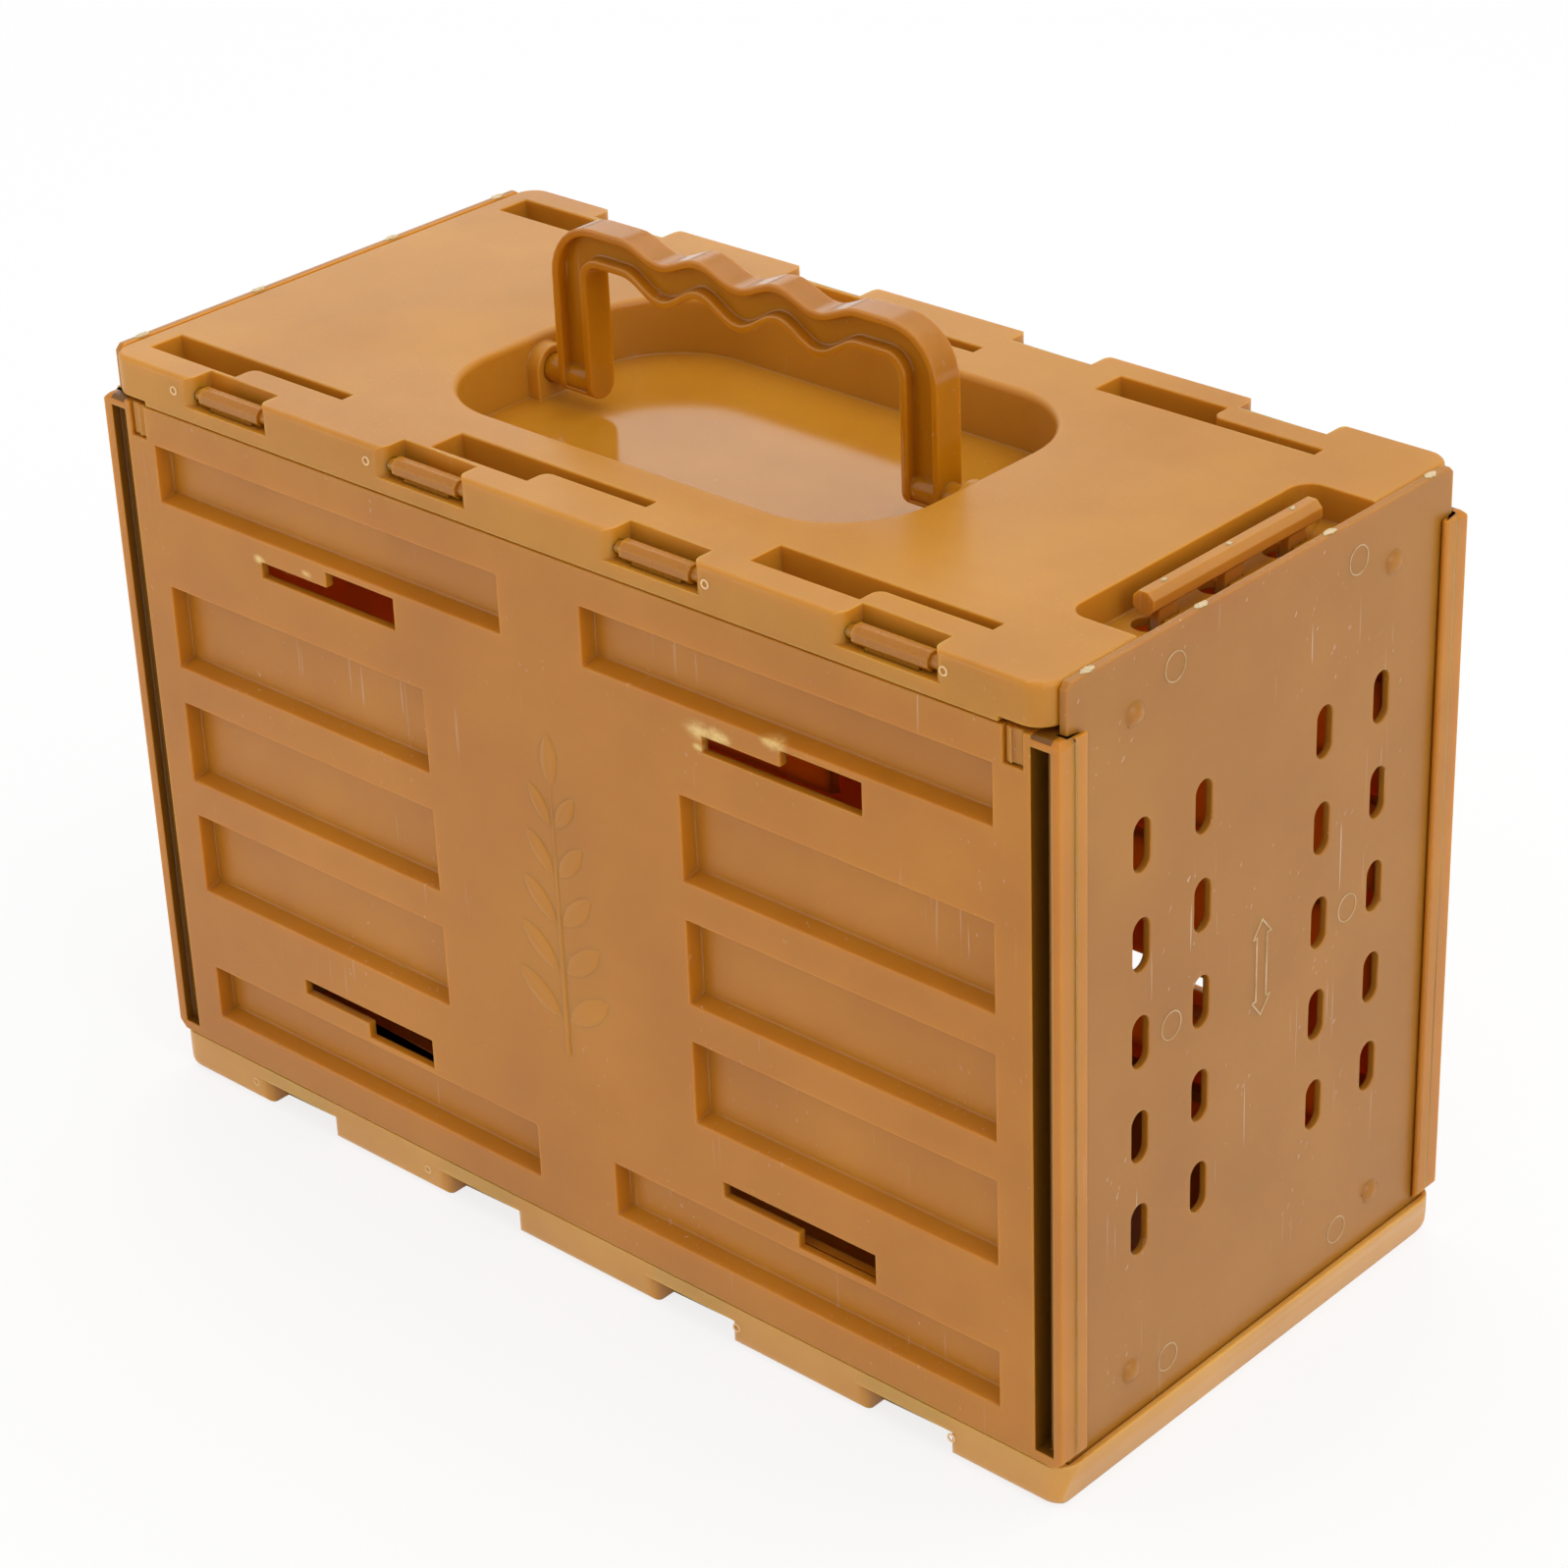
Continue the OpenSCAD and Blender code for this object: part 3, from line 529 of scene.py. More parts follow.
def panel_parts_group():
    """Masks of the hinge barrels of a long panel and of the slots down its posts"""
    tree, given, result = new_group(
        "Panel parts", [("Vector", VECTOR, None)], [("Barrels", FLOAT), ("Slots", FLOAT)]
    )
    axes = axes_of(tree, given["Vector"])
    x = away_from(tree, axes["X"])
    across = both(tree, over(tree, x, SLOT_XS[0]), under(tree, x, SLOT_XS[1]))
    behind = under(tree, away_from(tree, axes["Y"]), SLOT_MOUTH)
    feed(tree, result["Barrels"], over(tree, away_from(tree, axes["Z"], MID_HEIGHT), BARREL_START))
    feed(tree, result["Slots"], both(tree, across, behind))
    return tree


def place_group(tree, build, vector, **values):
    """Puts a shared effect in a material, on the object's coordinates and with the
    material's own values. The effect is built when it is first asked for."""
    if build not in GROUPS:
        GROUPS[build] = build()
    node = tree.nodes.new("ShaderNodeGroup")
    node.node_tree = GROUPS[build]
    feed(tree, node.inputs["Vector"], vector)
    for key, value in values.items():
        node.inputs[key].default_value = value
    return node.outputs


# Plastics

# Painted glow of the inner faces, standing for the light that the walls let through, and bent plastic
PAINTED_GLOW = (0.68, 0.26, 0.014)
BRUISED = (0.80, 0.54, 0.20)

# Insides of the pieces: the axes along which they look into the cabin, and how far
# from its middle, in x and y, their faces carry the painted glow
SHELL_INSIDE = {"Axes": (0.0, 0.0, 1.0), "Reach": (0.139, 0.062, 0.0)}
PANEL_INSIDE = {"Axes": (0.0, 1.0, 0.0), "Reach": (0.132, 0.07, 0.0)}
DOOR_INSIDE = {"Axes": (1.0, 0.0, 0.0), "Reach": (0.145, 0.070, 0.0)}


def new_plastic(name):
    """A material with its tree, its shader and the object's coordinates"""
    material = bpy.data.materials.new(name)
    material.use_nodes = True
    tree = material.node_tree
    place = tree.nodes.new("ShaderNodeTexCoord").outputs["Object"]
    return material, tree, tree.nodes["Principled BSDF"], place


def moulded_plastic(
    name, colour, roughness=0.36, haze=0.7, scratches=0.0, wear=0.35, bruises=(), inside=None,
    hinged=False, polished=False,
):
    """Slightly translucent moulded plastic, in which red light wanders further than
    blue, with a painted highlight along its edges. haze is how much of the light wanders, bruises are the
    centres and radii of its stress marks, and inside says where it looks into the cabin; the inner faces
    there get a painted glow. A hinged one has hinge barrels darkened as painted shade and made glossy, and
    corner slots darkened as painted shade, and a polished one has the floor of the well from a
    mirror-finished mould."""
    material, tree, shader, place = new_plastic(name)
    grain = place_group(tree, moulded_grain_group, place)
    edges = place_group(tree, edge_wear_and_highlight_group, place)
    deep = dyed(colour, 0.90, 0.86, 0.78)
    pale = dyed(colour, 1.06, 1.09, 1.16)
    painted_edge_highlight = dyed(colour, 1.30, 1.36, 1.6)
    worn = paled(colour, 0.30)

    tint = blend_colour(tree, remap(tree, grain["Cloud"], 0.30, 0.70), deep, pale)
    # Painted highlight: the edges are tinted paler and yellower, as if they caught the light
    tint = blend_colour(tree, calculate(tree, "MULTIPLY", edges["Edge"], 0.60), tint, painted_edge_highlight)
    tint = blend_colour(tree, calculate(tree, "MULTIPLY", edges["Worn"], wear), tint, worn)
    rough = calculate(tree, "MULTIPLY_ADD", grain["Grain"], 0.16, roughness - 0.08)
    if scratches:
        lines = place_group(tree, handling_scratches_group, place)["Scratch"]
        strength = calculate(tree, "MULTIPLY", lines, scratches)
        tint = blend_colour(tree, strength, tint, worn)
        rough = calculate(tree, "MULTIPLY_ADD", strength, 0.25, rough)
    for centre, radius in bruises:
        mark = place_group(tree, stress_mark_group, place, Centre=centre, Radius=radius)["Mark"]
        tint = blend_colour(tree, mark, tint, BRUISED + (1.0,))
    if inside is not None:
        mask = place_group(tree, inner_face_group, place, **inside)["Inner"]
        # Painted glow: the inner faces get a brighter orange in place of the light let through the walls
        tint = blend_colour(tree, mask, tint, PAINTED_GLOW + (1.0,))
    if hinged:
        parts = place_group(tree, panel_parts_group, place)
        # Painted shade: the hinge barrels are darkened as if shaded in their notches; the roughness below
        # makes them glossier
        tint = blend_colour(tree, parts["Barrels"], tint, darkened(colour, 0.82))
        rough = calculate(tree, "SUBTRACT", rough, calculate(tree, "MULTIPLY", parts["Barrels"], 0.10))
        # Painted shade: the slots down the posts are darkened to stand for the deep shade in their channels
        tint = blend_colour(tree, parts["Slots"], tint, darkened(colour, 0.38))
    if polished:
        gloss = calculate(tree, "MULTIPLY", well_floor(tree, place), roughness - 0.12)
        rough = calculate(tree, "SUBTRACT", rough, gloss)

    bump = add_node(tree, "ShaderNodeBump", Strength=0.10, Distance=0.05 * MM)
    feed(tree, bump.inputs["Height"], grain["Height"])
    feed(tree, bump.inputs["Normal"], edges["Normal"])
    feed(tree, shader.inputs["Normal"], bump.outputs["Normal"])
    feed(tree, shader.inputs["Base Color"], tint)
    feed(tree, shader.inputs["Roughness"], rough)
    shader.inputs["IOR"].default_value = 1.45
    shader.inputs["Subsurface Weight"].default_value = haze
    shader.inputs["Subsurface Radius"].default_value = (5.0, 3.9, 1.0)
    shader.inputs["Subsurface Scale"].default_value = MM
    return material


def rubbed_plastic(name, colour):
    """Plastic of a fine raised line, rubbed pale and half glossy"""
    material, tree, shader, place = new_plastic(name)
    rub = noise(tree, place, 260.0, 3.0, 0.6)
    tint = blend_colour(tree, remap(tree, rub, 0.35, 0.65), darkened(colour, 0.82), paled(colour, 0.14))
    feed(tree, shader.inputs["Base Color"], tint)
    feed(tree, shader.inputs["Roughness"], remap(tree, rub, 0.3, 0.7, 0.34, 0.5))
    shader.inputs["IOR"].default_value = 1.49
    return material


def torn_plastic(name, colour):
    """Matt, pale plastic of a broken-off runner"""
    material, tree, shader, place = new_plastic(name)
    ragged = noise(tree, place, 1500.0, 4.0, 0.7)
    tint = blend_colour(tree, remap(tree, ragged, 0.3, 0.65), darkened(colour, 0.7), tuple(colour) + (1.0,))
    bump = add_node(tree, "ShaderNodeBump", Strength=0.4, Distance=0.1 * MM)
    feed(tree, bump.inputs["Height"], ragged)
    feed(tree, shader.inputs["Normal"], bump.outputs["Normal"])
    feed(tree, shader.inputs["Base Color"], tint)
    feed(tree, shader.inputs["Roughness"], remap(tree, ragged, 0.2, 0.8, 0.45, 0.8))
    shader.inputs["Subsurface Weight"].default_value = 0.2
    shader.inputs["Subsurface Scale"].default_value = MM
    return material


# Modelling helpers

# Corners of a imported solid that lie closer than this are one, and its faces are flat
# to each other under the first angle and meet in a sharp edge over the second
DOUBLES = 0.002 * MM
FLAT = math.radians(0.4)
SHARP = math.radians(32.0)


def deselect_all():
    """Leaves edit mode and deselects every object"""
    if bpy.context.object is not None and bpy.context.object.mode != "OBJECT":
        bpy.ops.object.mode_set(mode="OBJECT")
    bpy.ops.object.select_all(action="DESELECT")


def make_active(piece):
    """Selects one piece alone and makes it the active one"""
    deselect_all()
    piece.select_set(True)
    bpy.context.view_layer.objects.active = piece


def last_made():
    """What the last operator made or left active"""
    return bpy.context.view_layer.objects.active


def apply_place(piece):
    """Puts a piece's place, turn and scale in its mesh"""
    make_active(piece)
    bpy.ops.object.transform_apply(location=True, rotation=True, scale=True)


def finish_piece(piece, name, body, material):
    """Names a piece, gives it its plastic and hangs it on its body"""
    piece.name = name
    piece.data.name = name
    piece.data.materials.clear()
    piece.data.materials.append(material)
    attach(piece, body)
    return piece


def join_pieces(pieces):
    """Joins several meshes into the first of them"""
    deselect_all()
    for piece in pieces:
        piece.select_set(True)
    bpy.context.view_layer.objects.active = pieces[0]
    bpy.ops.object.join()
    return last_made()


def select_corners(piece, wanted):
    """Selects the wanted corners of the piece in edit mode"""
    bpy.ops.mesh.select_mode(type="VERT")
    bpy.ops.mesh.select_all(action="DESELECT")
    shape = bmesh.from_edit_mesh(piece.data)
    for corner in shape.verts:
        corner.select_set(wanted(corner.co))
    shape.select_flush_mode()
    bmesh.update_edit_mesh(piece.data)


def select_sharp(piece, wanted):
    """Selects the wanted ones of the sharp edges of the piece in edit mode"""
    bpy.ops.mesh.select_all(action="DESELECT")
    bpy.ops.mesh.edges_select_sharp(sharpness=SHARP)
    shape = bmesh.from_edit_mesh(piece.data)
    for edge in shape.edges:
        if edge.select and not wanted(edge):
            edge.select_set(False)
    shape.select_flush_mode()
    bmesh.update_edit_mesh(piece.data)


def rounded_copy(node, width, crisp=None):
    """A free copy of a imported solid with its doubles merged, its flats made whole and
    its edges rounded. Edges with a corner for which crisp is true stay sharp."""
    make_active(frame["nodes"][node])
    bpy.ops.object.duplicate()
    piece = last_made()
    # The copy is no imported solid, so it drops what marks one
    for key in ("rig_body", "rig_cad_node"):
        if key in piece:
            del piece[key]
    piece.parent = None
    bpy.ops.object.mode_set(mode="EDIT")
    bpy.ops.mesh.select_all(action="SELECT")
    bpy.ops.mesh.remove_doubles(threshold=DOUBLES)
    bpy.ops.mesh.dissolve_limited(angle_limit=FLAT, delimit=set())
    bpy.ops.object.mode_set(mode="OBJECT")
    bpy.ops.mesh.customdata_custom_splitnormals_clear()
    bpy.ops.object.shade_smooth()
    bpy.ops.object.mode_set(mode="EDIT")
    bpy.ops.mesh.select_mode(type="EDGE")

    def stays(edge):
        return crisp is not None and any(crisp(corner.co) for corner in edge.verts)

    select_sharp(piece, stays)
    bpy.ops.mesh.mark_sharp()
    select_sharp(piece, lambda edge: not stays(edge))
    bpy.ops.mesh.bevel(offset=width, segments=2, affect="EDGES", clamp_overlap=False, harden_normals=True)
    bpy.ops.object.mode_set(mode="OBJECT")
    return piece


def at_notch(corner, reach):
    """True within a reach of the middle of a hinge notch, at the long faces"""
    return abs(corner.y) > NOTCH_Y and any(abs(abs(corner.x) - x) < reach for x in NOTCH_XS)


def at_notch_mouth(corner):
    """True for the rolled corners at the mouth of a hinge notch"""
    return abs(corner.y) > MOUTH_Y and at_notch(corner, MOUTH_REACH)


def at_knuckle(corner):
    """True for the faceted barrels of the hinges"""
    return at_notch(corner, KNUCKLE_REACH) and not KNUCKLE_ZS[0] < corner.z < KNUCKLE_ZS[1]


def at_pivot(corner):
    """True where a pivot leaves a leg of the handle or crosses its recess"""
    x, y = abs(corner.x), abs(corner.y)
    leaves = abs(x - LEG_FACE) < 0.2 * MM and math.hypot(y, corner.z - PIVOT_Z) < PIVOT_REACH
    return leaves or (RECESS_XS[0] < x < RECESS_XS[1] and y < RECESS_Y and corner.z < RECESS_TOP)


def add_ring(place, radius, line, facing):
    """A thin raised ring round an axis of the frame"""
    turn = (0.0, math.pi / 2, 0.0) if facing == "X" else (math.pi / 2, 0.0, 0.0)
    deselect_all()
    bpy.ops.mesh.primitive_torus_add(
        major_radius=radius, minor_radius=line, major_segments=48, minor_segments=8,
        location=place, rotation=turn,
    )
    ring = last_made()
    apply_place(ring)
    bpy.ops.object.shade_smooth()
    return ring


def add_line(start, end, width, rise):
    """A thin raised line on the face of a door, from one point to another"""
    start, end = Vector(start), Vector(end)
    along = end - start
    deselect_all()
    bpy.ops.mesh.primitive_cylinder_add(
        vertices=12, radius=0.5, depth=1.0, location=(start + end) / 2,
        rotation=(-math.atan2(along.y, along.z), 0.0, 0.0),
    )
    line = last_made()
    line.scale = (2 * rise, width, along.length + 0.5 * width)
    apply_place(line)
    bpy.ops.object.shade_smooth_by_angle(angle=math.radians(50))
    return line


def add_fleck(place, size, seed):
    """A ragged crumb of torn plastic"""
    deselect_all()
    bpy.ops.mesh.primitive_ico_sphere_add(subdivisions=3, radius=1.0, location=place)
    fleck = last_made()
    fleck.scale = size
    apply_place(fleck)
    bpy.ops.object.mode_set(mode="EDIT")
    bpy.ops.mesh.select_all(action="SELECT")
    bpy.ops.transform.vertex_random(offset=0.7 * min(size), uniform=0.0, normal=1.0, seed=seed)
    bpy.ops.object.mode_set(mode="OBJECT")
    bpy.ops.object.shade_smooth()
    return fleck


def set_in_front(form, x, z, lean, across, upright, rise):
    """Scales a form of unit size, leans it and sets it in the front face, so that it
    stands out by rise"""
    form.location = (x, FRONT + SUNK * rise, z)
    form.rotation_euler = (0.0, lean, 0.0)
    form.scale = (across, (1.0 + SUNK) * rise, upright)
    apply_place(form)
    return form


def add_leaf(x, z, lean, length, rise):
    """A pointed leaf with a sunk midrib, its tip turned by lean from upright"""
    deselect_all()
    bpy.ops.mesh.primitive_uv_sphere_add(segments=24, ring_count=16, radius=1.0)
    leaf = last_made()
    bpy.ops.object.mode_set(mode="EDIT")
    for reach, narrowing in ((0.5, 0.85), (0.8, 0.6)):
        select_corners(leaf, lambda corner: abs(corner.z) > reach)
        bpy.ops.transform.resize(value=(narrowing, 1.0, 1.0), center_override=(0.0, 0.0, 0.0))
    select_corners(leaf, lambda corner: abs(corner.x) < 0.05)
    bpy.ops.transform.resize(value=(1.0, 0.6, 1.0), center_override=(0.0, 0.0, 0.0))
    bpy.ops.object.mode_set(mode="OBJECT")
    return set_in_front(leaf, x, z, lean, LEAF_WIDTH * length, 0.5 * length, rise)


def add_stem(rise):
    """The upright stem of the relief, thinner towards its top"""
    deselect_all()
    bpy.ops.mesh.primitive_cone_add(vertices=16, radius1=1.0, radius2=0.4, depth=1.0)
    return set_in_front(last_made(), 0.0, STEM_MIDDLE, 0.0, STEM_RADIUS, STEM_HEIGHT, rise)


def leafy_stem(rise):
    """A stem with pairs of leaves, each shorter and steeper than the pair below it, and
    one at its tip, as one form"""
    leaves = [add_stem(rise), add_leaf(0.0, TIP_Z, 0.0, TIP_LENGTH, rise)]
    for i in range(LEAF_PAIRS):
        length = (17.0 - 1.3 * i) * MM
        reach = 0.5 * length + 1.2 * MM
        for side in (-1, 1):
            lean = side * math.radians(54.0 - 5.0 * i)
            x = math.sin(lean) * reach
            z = FIRST_PAIR_Z + PAIR_STEP * i + math.cos(lean) * reach
            leaves.append(add_leaf(x, z, lean, length, rise))
    return join_pieces(leaves)


# Operators


class CARRIER_OT_shell(bpy.types.Operator):
    """Rounds the lid and the base and gives them their plastic"""

    bl_idname = "carrier.shell"
    bl_label = "Lid and base"

    def execute(self, context):
        sizes, colours = context.scene.carrier_sizes, context.scene.carrier_colours
        plastic = moulded_plastic(
            "Lid plastic", colours.lid, wear=0.3, scratches=0.25, inside=SHELL_INSIDE, polished=True
        )
        lid = rounded_copy("lid", sizes.edge_round, at_notch_mouth)
        finish_piece(lid, "lid_moulding", "box", plastic)
        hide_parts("lid")
        plastic = moulded_plastic("Base plastic", colours.base, roughness=0.35, wear=0.4, inside=SHELL_INSIDE)
        base = rounded_copy("base", sizes.edge_round, at_notch_mouth)
        finish_piece(base, "base_moulding", "box", plastic)
        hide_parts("base")
        return {"FINISHED"}


class CARRIER_OT_rim_dots(bpy.types.Operator):
    """Adds the small round marks on the long faces of the lid and the base"""

    bl_idname = "carrier.rim_dots"
    bl_label = "Rim dots"

    def execute(self, context):
        sizes, colours = context.scene.carrier_sizes, context.scene.carrier_colours
        plastic = rubbed_plastic("Rubbed rim plastic", tuple(min(1.0, 1.25 * c) for c in colours.rubbed))
        for node, z, xs in RIM_DOTS:
            dots = []
            for x in xs:
                for side in (-1, 1):
                    place = (-side * x, side * CAD_BOX[1][1], z)
                    dots.append(add_ring(place, sizes.dot_radius - sizes.dot_line, sizes.dot_line, "Y"))
            finish_piece(join_pieces(dots), node + "_dots", "box", plastic)
        return {"FINISHED"}


class CARRIER_OT_panels(bpy.types.Operator):
    """Rounds the two long panels, gives them their plastic and puts a low relief
    of a leafy stem on the middle of the front one"""

    bl_idname = "carrier.panels"
    bl_label = "Long panels"

    def execute(self, context):
        sizes, colours = context.scene.carrier_sizes, context.scene.carrier_colours
        for node in ("front_panel", "back_panel"):
            plastic = moulded_plastic(
                node.replace("_", " ").capitalize() + " plastic", colours.panel, scratches=0.5,
                bruises=BRUISES[node], inside=PANEL_INSIDE, hinged=True,
            )
            panel = rounded_copy(node, sizes.edge_round, at_knuckle)
            finish_piece(panel, node + "_moulding", "box", plastic)
            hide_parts(node)
        plastic = moulded_plastic("Relief plastic", colours.panel, roughness=0.40, haze=0.0)
        relief = leafy_stem(sizes.relief_rise)
        bpy.ops.object.shade_smooth_by_angle(angle=math.radians(40))
        finish_piece(relief, "front_panel_relief", "box", plastic)
        return {"FINISHED"}


class CARRIER_OT_doors(bpy.types.Operator):
    """Rounds the two end doors and gives them their plastic"""

    bl_idname = "carrier.doors"
    bl_label = "End doors"

    def execute(self, context):
        sizes, colours = context.scene.carrier_sizes, context.scene.carrier_colours
        plastic = moulded_plastic(
            "Door plastic", colours.door, roughness=0.35, scratches=0.85, inside=DOOR_INSIDE
        )
        for node in ("left_door", "right_door"):
            door = rounded_copy(node, sizes.edge_round)
            finish_piece(door, node + "_moulding", node, plastic)
            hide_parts(node)
        return {"FINISHED"}


class CARRIER_OT_door_marks(bpy.types.Operator):
    """Adds the ejector rings, the raised double arrow and the gate marks of the doors"""

    bl_idname = "carrier.door_marks"
    bl_label = "Door marks"

    def execute(self, context):
        sizes, colours = context.scene.carrier_sizes, context.scene.carrier_colours
        plastic = rubbed_plastic("Rubbed door plastic", tuple(0.8 * c for c in colours.rubbed))
        torn = torn_plastic("Torn door plastic", colours.gate)
        for node, side in (("left_door", -1), ("right_door", 1)):
            low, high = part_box(node)
            inner = low[0] if side > 0 else high[0]
            face = inner + side * DOOR_THICKNESS
            middle = face - side * 0.5 * DOOR_THICKNESS
            marks = [
                add_ring((face, y, z), sizes.ring_radius, sizes.ring_line, "X")
                for y in RING_YS for z in RING_ZS
            ]
            marks += [
                add_line((face, *start), (face, *end), ARROW_LINE, ARROW_RISE)
                for start, end in zip(ARROW_YZ, ARROW_YZ[1:] + ARROW_YZ[:1])
            ]
            finish_piece(join_pieces(marks), node + "_marks", node, plastic)
            flecks = [
                add_fleck((middle, y, high[2]), DOOR_GATE, seed)
                for seed, y in enumerate(DOOR_GATE_YS, DOOR_GATE_SEED)
            ]
            finish_piece(join_pieces(flecks), node + "_gates", node, torn)
        return {"FINISHED"}


class CARRIER_OT_handle(bpy.types.Operator):
    """Rounds the handle and the keyed bar, gives them their glossy plastic and adds
    the gate marks of the bar"""

    bl_idname = "carrier.handle"
    bl_label = "Handle and bar"

    def execute(self, context):
        sizes, colours = context.scene.carrier_sizes, context.scene.carrier_colours
        for node, colour, width, crisp in (
            ("handle", colours.handle, sizes.handle_round, at_pivot),
            ("keyed_bar", colours.bar, sizes.facet_round, None),
        ):
            plastic = moulded_plastic(
                node.replace("_", " ").capitalize() + " plastic", colour,
                roughness=0.16, scratches=0.35, wear=0.3,
            )
            piece = rounded_copy(node, width, crisp)
            finish_piece(piece, node + "_moulding", node, plastic)
            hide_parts(node)
        low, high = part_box("keyed_bar")
        flecks = [
            add_fleck(((low[0] + high[0]) / 2, y, high[2]), BAR_GATE, seed)
            for seed, y in enumerate(BAR_GATE_YS, BAR_GATE_SEED)
        ]
        torn = torn_plastic("Torn bar plastic", colours.gate)
        finish_piece(join_pieces(flecks), "keyed_bar_gates", "keyed_bar", torn)
        return {"FINISHED"}


class CARRIER_OT_stage(bpy.types.Operator):
    """Makes the pale floor, the soft lamps, the surroundings and the camera"""

    bl_idname = "carrier.stage"
    bl_label = "Stage"

    def execute(self, context):
        make_floor(context.scene.carrier_colours.backdrop)
        make_surroundings(context.scene)
        make_lamps()
        make_camera(context.scene)
        return {"FINISHED"}


# Stage


def make_floor(colour):
    """A matt disc that takes the carrier's shadow and looks nearly white to the camera
    and in reflections"""
    deselect_all()
    bpy.ops.mesh.primitive_circle_add(vertices=96, radius=6.0, fill_type="NGON")
    floor = last_made()
    floor.name = "floor"
    material = bpy.data.materials.new("Backdrop")
    material.use_nodes = True
    tree = material.node_tree
    tree.nodes.clear()
    output = tree.nodes.new("ShaderNodeOutputMaterial")
    matt = add_node(tree, "ShaderNodeBsdfDiffuse", Color=tuple(colour) + (1.0,))
    glow = add_node(tree, "ShaderNodeEmission", Color=(1.0, 1.0, 1.0, 1.0), Strength=1.0)
    mix = add_node(tree, "ShaderNodeMixShader")
    path = tree.nodes.new("ShaderNodeLightPath")
    seen = calculate(tree, "MAXIMUM", path.outputs["Is Camera Ray"], path.outputs["Is Glossy Ray"])
    seen = calculate(tree, "MAXIMUM", seen, path.outputs["Is Transmission Ray"])
    feed(tree, mix.inputs["Fac"], calculate(tree, "MULTIPLY", seen, FLOOR_GLOW))
    feed(tree, mix.inputs[1], matt.outputs["BSDF"])
    feed(tree, mix.inputs[2], glow.outputs["Emission"])
    feed(tree, output.inputs["Surface"], mix.outputs["Shader"])
    floor.data.materials.append(material)


def make_surroundings(scene):
    """Surroundings that are white to the camera and through clear plastic, and light
    the carrier more from overhead than from the horizon"""
    scene.view_settings.view_transform = "Standard"
    world = bpy.data.worlds.new("Surroundings")
    scene.world = world
    world.use_nodes = True
    tree = world.node_tree
    tree.nodes.clear()
    output = tree.nodes.new("ShaderNodeOutputWorld")
    background = add_node(tree, "ShaderNodeBackground", Color=(1.0, 1.0, 1.0, 1.0))
    path = tree.nodes.new("ShaderNodeLightPath")
    seen = calculate(tree, "MAXIMUM", path.outputs["Is Camera Ray"], path.outputs["Is Transmission Ray"])
    height = axes_of(tree, tree.nodes.new("ShaderNodeTexCoord").outputs["Generated"])["Z"]
    light = remap(tree, height, -0.05, 0.55, 0.45, 0.86, smooth=True)
    feed(tree, background.inputs["Strength"], calculate(tree, "MAXIMUM", light, seen))
    feed(tree, output.inputs["Surface"], background.outputs["Background"])


def make_lamp(name, place, target, size, watts):
    """A white softbox at a place, turned towards a target"""
    deselect_all()
    bpy.ops.object.light_add(type="AREA", location=place)
    lamp = last_made()
    lamp.name = name
    lamp.data.shape = "RECTANGLE"
    lamp.data.size, lamp.data.size_y = size
    lamp.data.energy = watts
    lamp.rotation_mode = "QUATERNION"
    lamp.rotation_quaternion = (Vector(target) - Vector(place)).to_track_quat("-Z", "Y")


def make_lamps():
    """A large softbox overhead and three round the carrier"""
    make_lamp("softbox_above", (0.0, 0.35, 1.35), (0.0, 0.0, 0.1), (1.5, 1.2), 5.6)
    make_lamp("softbox_left", (-0.70, -0.90, 0.18), (0.0, 0.0, 0.04), (0.6, 0.3), 1.15)
    make_lamp("softbox_right", (1.5, -0.3, 0.8), (0.0, 0.0, 0.1), (0.8, 1.0), 6.0)
    make_lamp("softbox_behind", (-1.35, 0.95, 0.75), (-0.1, 0.0, 0.15), (1.0, 0.7), 1.4)


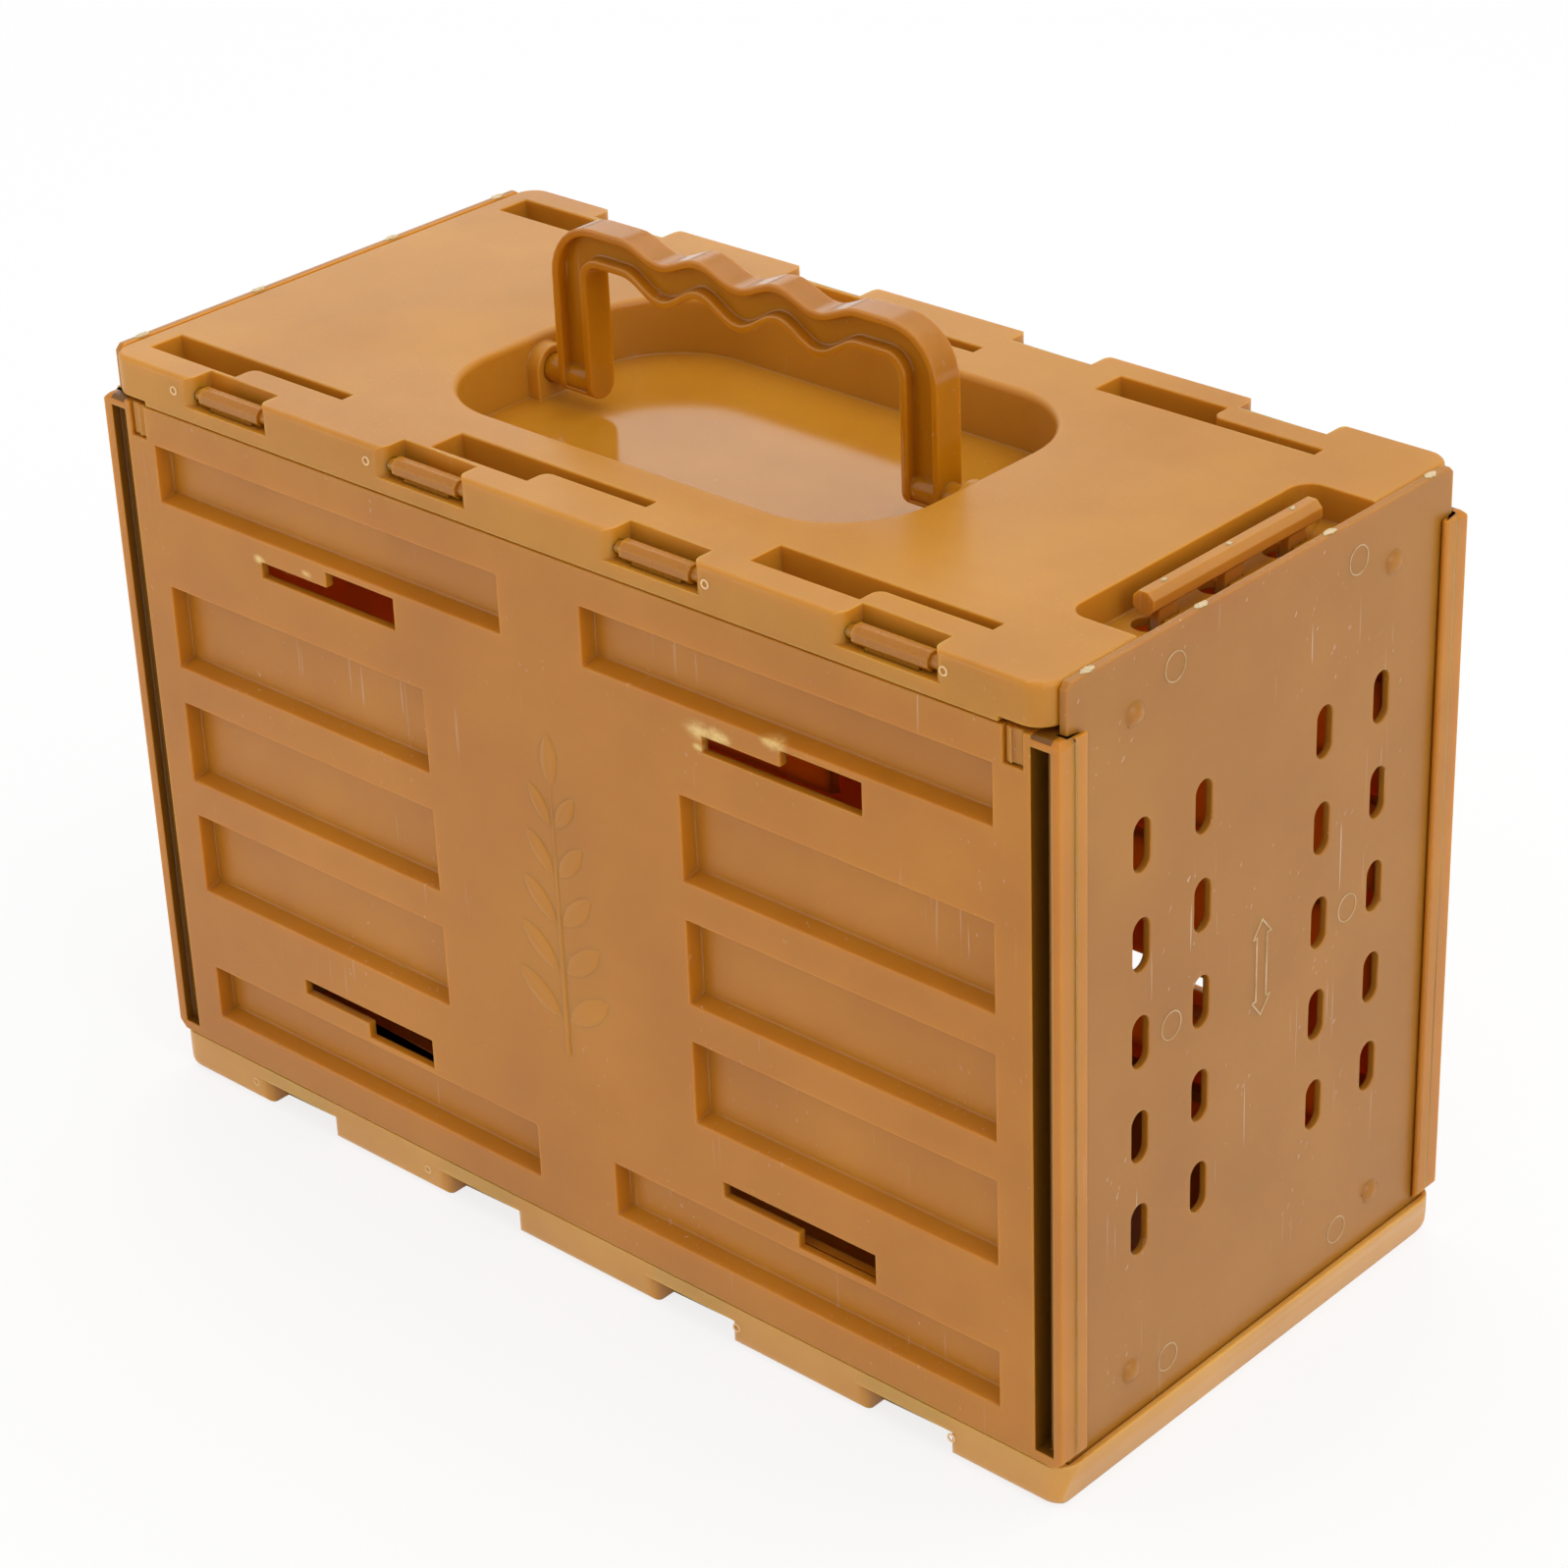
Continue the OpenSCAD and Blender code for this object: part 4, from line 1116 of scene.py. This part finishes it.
def make_camera(scene):
    """The camera at the photograph's viewing angle"""
    back = Vector((
        math.sin(CAMERA_BEARING) * math.cos(CAMERA_ELEVATION),
        -math.cos(CAMERA_BEARING) * math.cos(CAMERA_ELEVATION),
        math.sin(CAMERA_ELEVATION),
    ))
    deselect_all()
    bpy.ops.object.camera_add(location=CAMERA_PLACE)
    camera = last_made()
    camera.name = "camera"
    camera.rotation_mode = "QUATERNION"
    camera.rotation_quaternion = (-back).to_track_quat("-Z", "Y") @ Quaternion((0, 0, 1), CAMERA_ROLL)
    camera.data.lens = CAMERA_LENS
    camera.data.sensor_width = 36.0
    camera.data.clip_start, camera.data.clip_end = 0.05, 30.0
    scene.camera = camera


# Add-on


class CARRIER_PT_panel(bpy.types.Panel):
    """Lists the steps and the settings"""

    bl_label = "Bird travel carrier"
    bl_idname = "CARRIER_PT_panel"
    bl_space_type = "VIEW_3D"
    bl_region_type = "UI"
    bl_category = "Carrier"

    def draw(self, context):
        for step in STEPS:
            self.layout.operator(step.bl_idname)
        for group in (context.scene.carrier_sizes, context.scene.carrier_colours):
            for key in group.__annotations__:
                self.layout.prop(group, key)


STEPS = (
    CARRIER_OT_shell, CARRIER_OT_rim_dots, CARRIER_OT_panels, CARRIER_OT_doors, CARRIER_OT_door_marks,
    CARRIER_OT_handle, CARRIER_OT_stage,
)
CLASSES = (CarrierSizes, CarrierColours) + STEPS + (CARRIER_PT_panel,)


def register():
    """Makes the settings, the steps and the sidebar panel known"""
    for item in CLASSES:
        bpy.utils.register_class(item)
    bpy.types.Scene.carrier_sizes = bpy.props.PointerProperty(type=CarrierSizes)
    bpy.types.Scene.carrier_colours = bpy.props.PointerProperty(type=CarrierColours)


def unregister():
    """Takes back what register does"""
    del bpy.types.Scene.carrier_colours
    del bpy.types.Scene.carrier_sizes
    for item in reversed(CLASSES):
        bpy.utils.unregister_class(item)


def main():
    """Dresses the carrier step by step"""
    register()
    bpy.ops.carrier.shell()
    bpy.ops.carrier.rim_dots()
    bpy.ops.carrier.panels()
    bpy.ops.carrier.doors()
    bpy.ops.carrier.door_marks()
    bpy.ops.carrier.handle()
    bpy.ops.carrier.stage()


if __name__ == "__main__":
    main()
